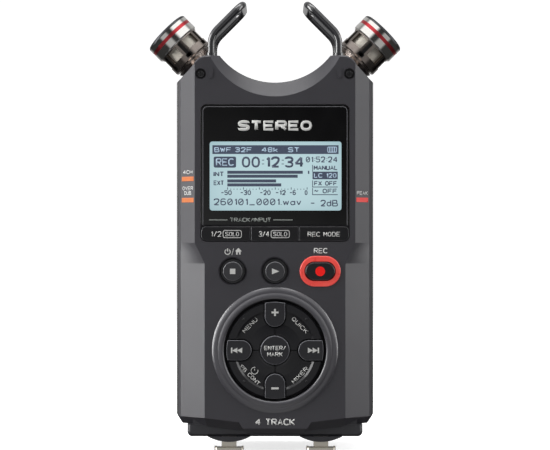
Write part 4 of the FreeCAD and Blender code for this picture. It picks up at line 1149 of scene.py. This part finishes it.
@dataclass
class Microphone:
    """One swivelling microphone: metals, wire cloth, painted shade in its slots and the grille over its end.
    """

    side: str
    pivot: Vector
    axis: Vector
    grille_radius: float = 7.0
    grille_height: float = 19.65
    wires: int = 30
    slot_radius: float = 6.78
    lip_height: float = 19.3

    def frame_matrix(self) -> Matrix:
        """From the microphone's own millimetres, with z along its axis, to the object's frame."""
        across = Vector((0, 1, 0))
        third = across.cross(self.axis)
        turn = Matrix((third, across, self.axis)).transposed().to_4x4()
        return Matrix.Translation(self.pivot) @ turn @ Matrix.Scale(MM, 4)

    def grille(self, finishes: Finishes, weave: object) -> None:
        """Woven wire over the open end, slightly domed."""
        bm = bmesh.new()
        bmesh.ops.create_grid(bm, x_segments=self.wires, y_segments=self.wires, size=self.grille_radius)
        outside = [v for v in bm.verts if v.co.length > self.grille_radius]
        bmesh.ops.delete(bm, geom=outside, context="VERTS")
        for v in bm.verts:
            bulge = 0.45 * (1 - (v.co.xy.length / self.grille_radius) ** 2)
            v.co.z = self.grille_height + bulge
        bmesh.ops.wireframe(bm, faces=bm.faces, thickness=0.16, use_replace=True, use_boundary=True,
                            use_even_offset=True)
        bm.transform(self.frame_matrix())
        bmesh.ops.recalc_face_normals(bm, faces=bm.faces)
        piece(f"mic_grille_{self.side}", bm, finishes.add(weave), f"mic_{self.side}", smooth=50)

    def slots(self, finishes: Finishes) -> None:
        """Dark plates behind the T-shaped slots of the barrel, one of which faces the front: painted shade, a
        dark sheet where the slots lie in shadow.
        """
        bm = bmesh.new()
        for turn in range(6):
            spin = Matrix.Rotation(math.radians(60 * turn), 4, "Z")
            for wide, z0, z1 in ((1.5, 7.1, 13.4), (2.7, 7.1, 8.7)):
                made = bmesh.ops.create_cube(bm, size=1.0)
                middle = Matrix.Translation((0, self.slot_radius, (z0 + z1) / 2))
                shape = middle @ Matrix.Diagonal((wide, 0.3, z1 - z0, 1))
                bmesh.ops.transform(bm, matrix=spin @ shape, verts=made["verts"])
        bmesh.ops.bevel(bm, geom=bm.edges[:], offset=0.08, affect="EDGES", segments=1, profile=0.5,
                        material=-1)
        bm.transform(self.frame_matrix())
        # Painted shade: the dark plates stand where the slots lie in shadow.
        piece(f"mic_slot_shade_plates_{self.side}", bm, finishes.add(SOCKET), f"mic_{self.side}")

    def build(self, finishes: Finishes) -> None:
        """Dress this microphone."""
        axis = tuple(self.axis)
        side = self.side
        bronze = Metal(f"gunmetal_{side}", rgb("948b85"), roughness=0.2, cut=Cut.TURNED, axis=axis,
                       pitch=0.0004)
        lip = self.pivot.dot(self.axis) + self.lip_height * MM
        # The cap's dark lip colour is painted shade.
        nickel = Rimmed(f"nickel_{side}", rgb("e4e2de"), rgb("3c3c3e"), axis, lip)
        red = Metal(f"red_band_{side}", rgb("c8434a"), roughness=0.3, cut=Cut.TURNED, axis=axis)
        third = Vector((0, 1, 0)).cross(self.axis)
        weave = Weave(f"wire_cloth_{side}", rgb("f0ebe0"), rgb("a39c90"), tuple(self.pivot), axis,
                      tuple(third))
        finishes.dress(bronze, f"mic_base_{side}", f"mic_barrel_{side}")
        finishes.dress(nickel, f"mic_cap_{side}")
        finishes.dress(red, f"mic_band_{side}")
        finishes.dress(weave, f"mic_capsule_{side}")
        wire = Metal(f"grille_wire_{side}", rgb("8d8b88"), roughness=0.3, cut=Cut.ROLLED)
        self.grille(finishes, wire)
        self.slots(finishes)


# ---------------------------------------------------------------- studio


@dataclass(frozen=True)
class SoftBox:
    """One rectangular soft light, which points at the middle of the object."""

    name: str
    place: tuple[float, float, float]
    width: float
    height: float
    power: float

    def build(self, target: Vector) -> None:
        """Hang the light."""
        light = bpy.data.lights.new(self.name, "AREA")
        light.shape = "RECTANGLE"
        light.size = self.width
        light.size_y = self.height
        light.energy = self.power
        holder = bpy.data.objects.new(self.name, light)
        bpy.context.scene.collection.objects.link(holder)
        aim = (target - Vector(self.place)).to_track_quat("-Z", "Y")
        holder.matrix_world = Matrix.Translation(self.place) @ aim.to_matrix().to_4x4()


@dataclass(frozen=True)
class Bounce:
    """A broad soft patch of light in the surround, such as a lit wall or table, with a soft rim."""

    direction: tuple[float, float, float]
    inner: float
    outer: float
    strength: float


@dataclass
class Studio:
    """Pale floor, soft boxes, the lit surround and the camera."""

    distance: float = 0.600
    eye_height: float = 0.0798
    lens: float = 111.5
    face: float = -0.0164
    ambient: float = 0.035
    matt_share: float = 0.36
    boxes: tuple[SoftBox, ...] = (
        SoftBox("key_left", (-0.55, -0.12, 0.18), 0.28, 0.5, 4.4),
        SoftBox("rim_right", (0.60, -0.08, 0.18), 0.28, 0.5, 2.3),
        SoftBox("top", (0.0, -0.12, 1.05), 0.8, 0.45, 6.0),
    )
    bounces: tuple[Bounce, ...] = (
        Bounce((-0.25, -0.93, -0.28), 14.0, 26.0, 0.45),
        Bounce((0.35, -0.90, -0.28), 14.0, 26.0, 0.4),
        Bounce((0.0, -0.45, -0.89), 16.0, 34.0, 0.7),
        Bounce((0.62, -0.45, 0.62), 26.0, 44.0, 1.2),
        Bounce((-0.62, -0.45, 0.62), 26.0, 44.0, 1.2),
        Bounce((0.0, 0.9, 0.45), 30.0, 70.0, 0.5),
    )

    def backdrop(self) -> None:
        """A pale floor that sweeps up behind the object."""
        bm = bmesh.new()
        start = [bm.verts.new((x, -2.5, -0.0006)) for x in (-3.0, 3.0)]
        edge = bm.edges.new(start)
        steps = [(0.0, 3.7, 0.0)]
        radius = 0.8
        for step in range(12):
            a = math.radians(90 * step / 12)
            b = math.radians(90 * (step + 1) / 12)
            steps.append((0.0, radius * (math.sin(b) - math.sin(a)), radius * (math.cos(a) - math.cos(b))))
        steps.append((0.0, 0.0, 2.0))
        for move in steps:
            grown = bmesh.ops.extrude_edge_only(bm, edges=[edge])
            new = [item for item in grown["geom"] if isinstance(item, bmesh.types.BMVert)]
            bmesh.ops.translate(bm, vec=move, verts=new)
            edge = next(item for item in grown["geom"] if isinstance(item, bmesh.types.BMEdge))
        bmesh.ops.recalc_face_normals(bm, faces=bm.faces)
        mesh = bpy.data.meshes.new("backdrop")
        bm.to_mesh(mesh)
        bm.free()
        mesh.shade_smooth()
        s = Shader("backdrop_white")
        cloud = s.noise(0.6, 2.0)
        s.set(Base_Color=s.blend(cloud, rgb("f4f4f4"), rgb("fbfbfb")), Roughness=0.9, Specular_IOR_Level=0.1)
        s.set(Emission_Color=(1.0, 1.0, 1.0, 1.0), Emission_Strength=0.72)
        mesh.materials.append(s.material)
        floor = bpy.data.objects.new("backdrop", mesh)
        bpy.context.scene.collection.objects.link(floor)
        floor.visible_glossy = False
        floor.visible_diffuse = False

    def surround(self) -> None:
        """A dim room with a few broad lit patches; past the floor's edges it looks white."""
        world = bpy.data.worlds.new("surround")
        world.use_nodes = True
        tree = world.node_tree
        back = tree.nodes["Background"]
        look = tree.nodes.new("ShaderNodeTexCoord").outputs["Generated"]
        total = None
        for bounce in self.bounces:
            near = tree.nodes.new("ShaderNodeVectorMath")
            near.operation = "DOT_PRODUCT"
            near.inputs[1].default_value = Vector(bounce.direction).normalized()
            tree.links.new(look, near.inputs[0])
            soft = tree.nodes.new("ShaderNodeMapRange")
            soft.interpolation_type = "SMOOTHSTEP"
            soft.inputs["From Min"].default_value = math.cos(math.radians(bounce.outer))
            soft.inputs["From Max"].default_value = math.cos(math.radians(bounce.inner))
            soft.inputs["To Max"].default_value = bounce.strength
            tree.links.new(near.outputs["Value"], soft.inputs["Value"])
            added = tree.nodes.new("ShaderNodeMath")
            added.operation = "ADD"
            added.inputs[1].default_value = self.ambient
            tree.links.new(soft.outputs["Result"], added.inputs[0])
            if total is not None:
                tree.links.new(total, added.inputs[1])
            total = added.outputs[0]
        path = tree.nodes.new("ShaderNodeLightPath")
        share = tree.nodes.new("ShaderNodeMapRange")
        share.inputs["To Min"].default_value = 1.0
        share.inputs["To Max"].default_value = self.matt_share
        tree.links.new(path.outputs["Is Diffuse Ray"], share.inputs["Value"])
        dimmed = tree.nodes.new("ShaderNodeMath")
        dimmed.operation = "MULTIPLY"
        tree.links.new(total, dimmed.inputs[0])
        tree.links.new(share.outputs["Result"], dimmed.inputs[1])
        pick = tree.nodes.new("ShaderNodeMix")
        tree.links.new(path.outputs["Is Camera Ray"], pick.inputs["Factor"])
        tree.links.new(dimmed.outputs[0], pick.inputs[2])
        pick.inputs[3].default_value = 1.0
        tree.links.new(pick.outputs[0], back.inputs["Strength"])
        back.inputs["Color"].default_value = (1.0, 1.0, 1.0, 1.0)
        bpy.context.scene.world = world

    def camera(self) -> None:
        """Straight at the face, from the distance that a close portrait lens needs."""
        data = bpy.data.cameras.new("camera")
        data.lens = self.lens
        data.sensor_width = 36.0
        data.clip_start = 0.01
        holder = bpy.data.objects.new("camera", data)
        bpy.context.scene.collection.objects.link(holder)
        holder.location = (0.0, self.face - self.distance, self.eye_height)
        holder.rotation_euler = (math.radians(90), 0.0, 0.0)
        bpy.context.scene.camera = holder

    def build(self) -> None:
        """Set the whole studio."""
        bpy.context.scene.view_settings.view_transform = "Standard"
        self.backdrop()
        for box in self.boxes:
            box.build(Vector((0.0, 0.0, 0.085)))
        self.surround()
        self.camera()


def dress_case(finishes: Finishes) -> None:
    """Give the case, its inner pieces and its hardware their finishes."""
    finishes.dress(COVER, "front_cover")
    finishes.dress(RING, "wheel_ring")
    finishes.dress(SHELL, "rear_shell", "battery_cover", "card_door")
    finishes.dress(BLOCK, "connector_block")
    finishes.dress(Moulded("switch_charcoal", rgb("333336"), roughness=0.45), "volume_rocker", "level_rocker",
                   "hold_switch", "input_switch")
    finishes.dress(ROD, "guard_left", "guard_right")
    finishes.dress(LATCH, "latch_left", "latch_right")
    finishes.dress(BLACK_SCREW, "shoulder_screws", "case_screws")
    finishes.dress(SCREW, "pivot_pins", "usb_port", "card_socket",
                   "battery_contacts", "speaker")
    finishes.dress(BRASS, "tripod_insert", "jack_contacts")
    finishes.dress(RUBBER, "rubber_feet")
    finishes.dress(SILICONE, "keypad_mat")
    finishes.dress(SOCKET, "jack_left", "jack_right", "side_jacks")
    finishes.dress(CELL, "battery_cells")
    finishes.dress(Board("board_green"), "main_board")
    finishes.dress(Gloss("lcd_frame", rgb("9aa4a8"), roughness=0.3), "lcd_module")


def swivel(joint: str) -> Vector:
    """The pivot of a microphone's joint, in metres."""
    found = next(item for item in frame["joints"] if item["name"] == joint)
    return Vector(found["pos_m"])


def main() -> None:
    """Build everything in order."""
    logging.basicConfig(level=logging.INFO, format="%(name)s: %(message)s")
    finishes = Finishes()
    dress_case(finishes)
    Display().build(finishes)
    CasePrint().build(finishes)
    KeyPad().build(finishes)
    lean = 1 / math.sqrt(2)
    for side, sign in (("left", -1), ("right", 1)):
        Microphone(side, swivel(f"mic_{side}_swivel"), Vector((sign * lean, 0, lean))).build(finishes)
    Studio().build()


if __name__ == "__main__":
    main()
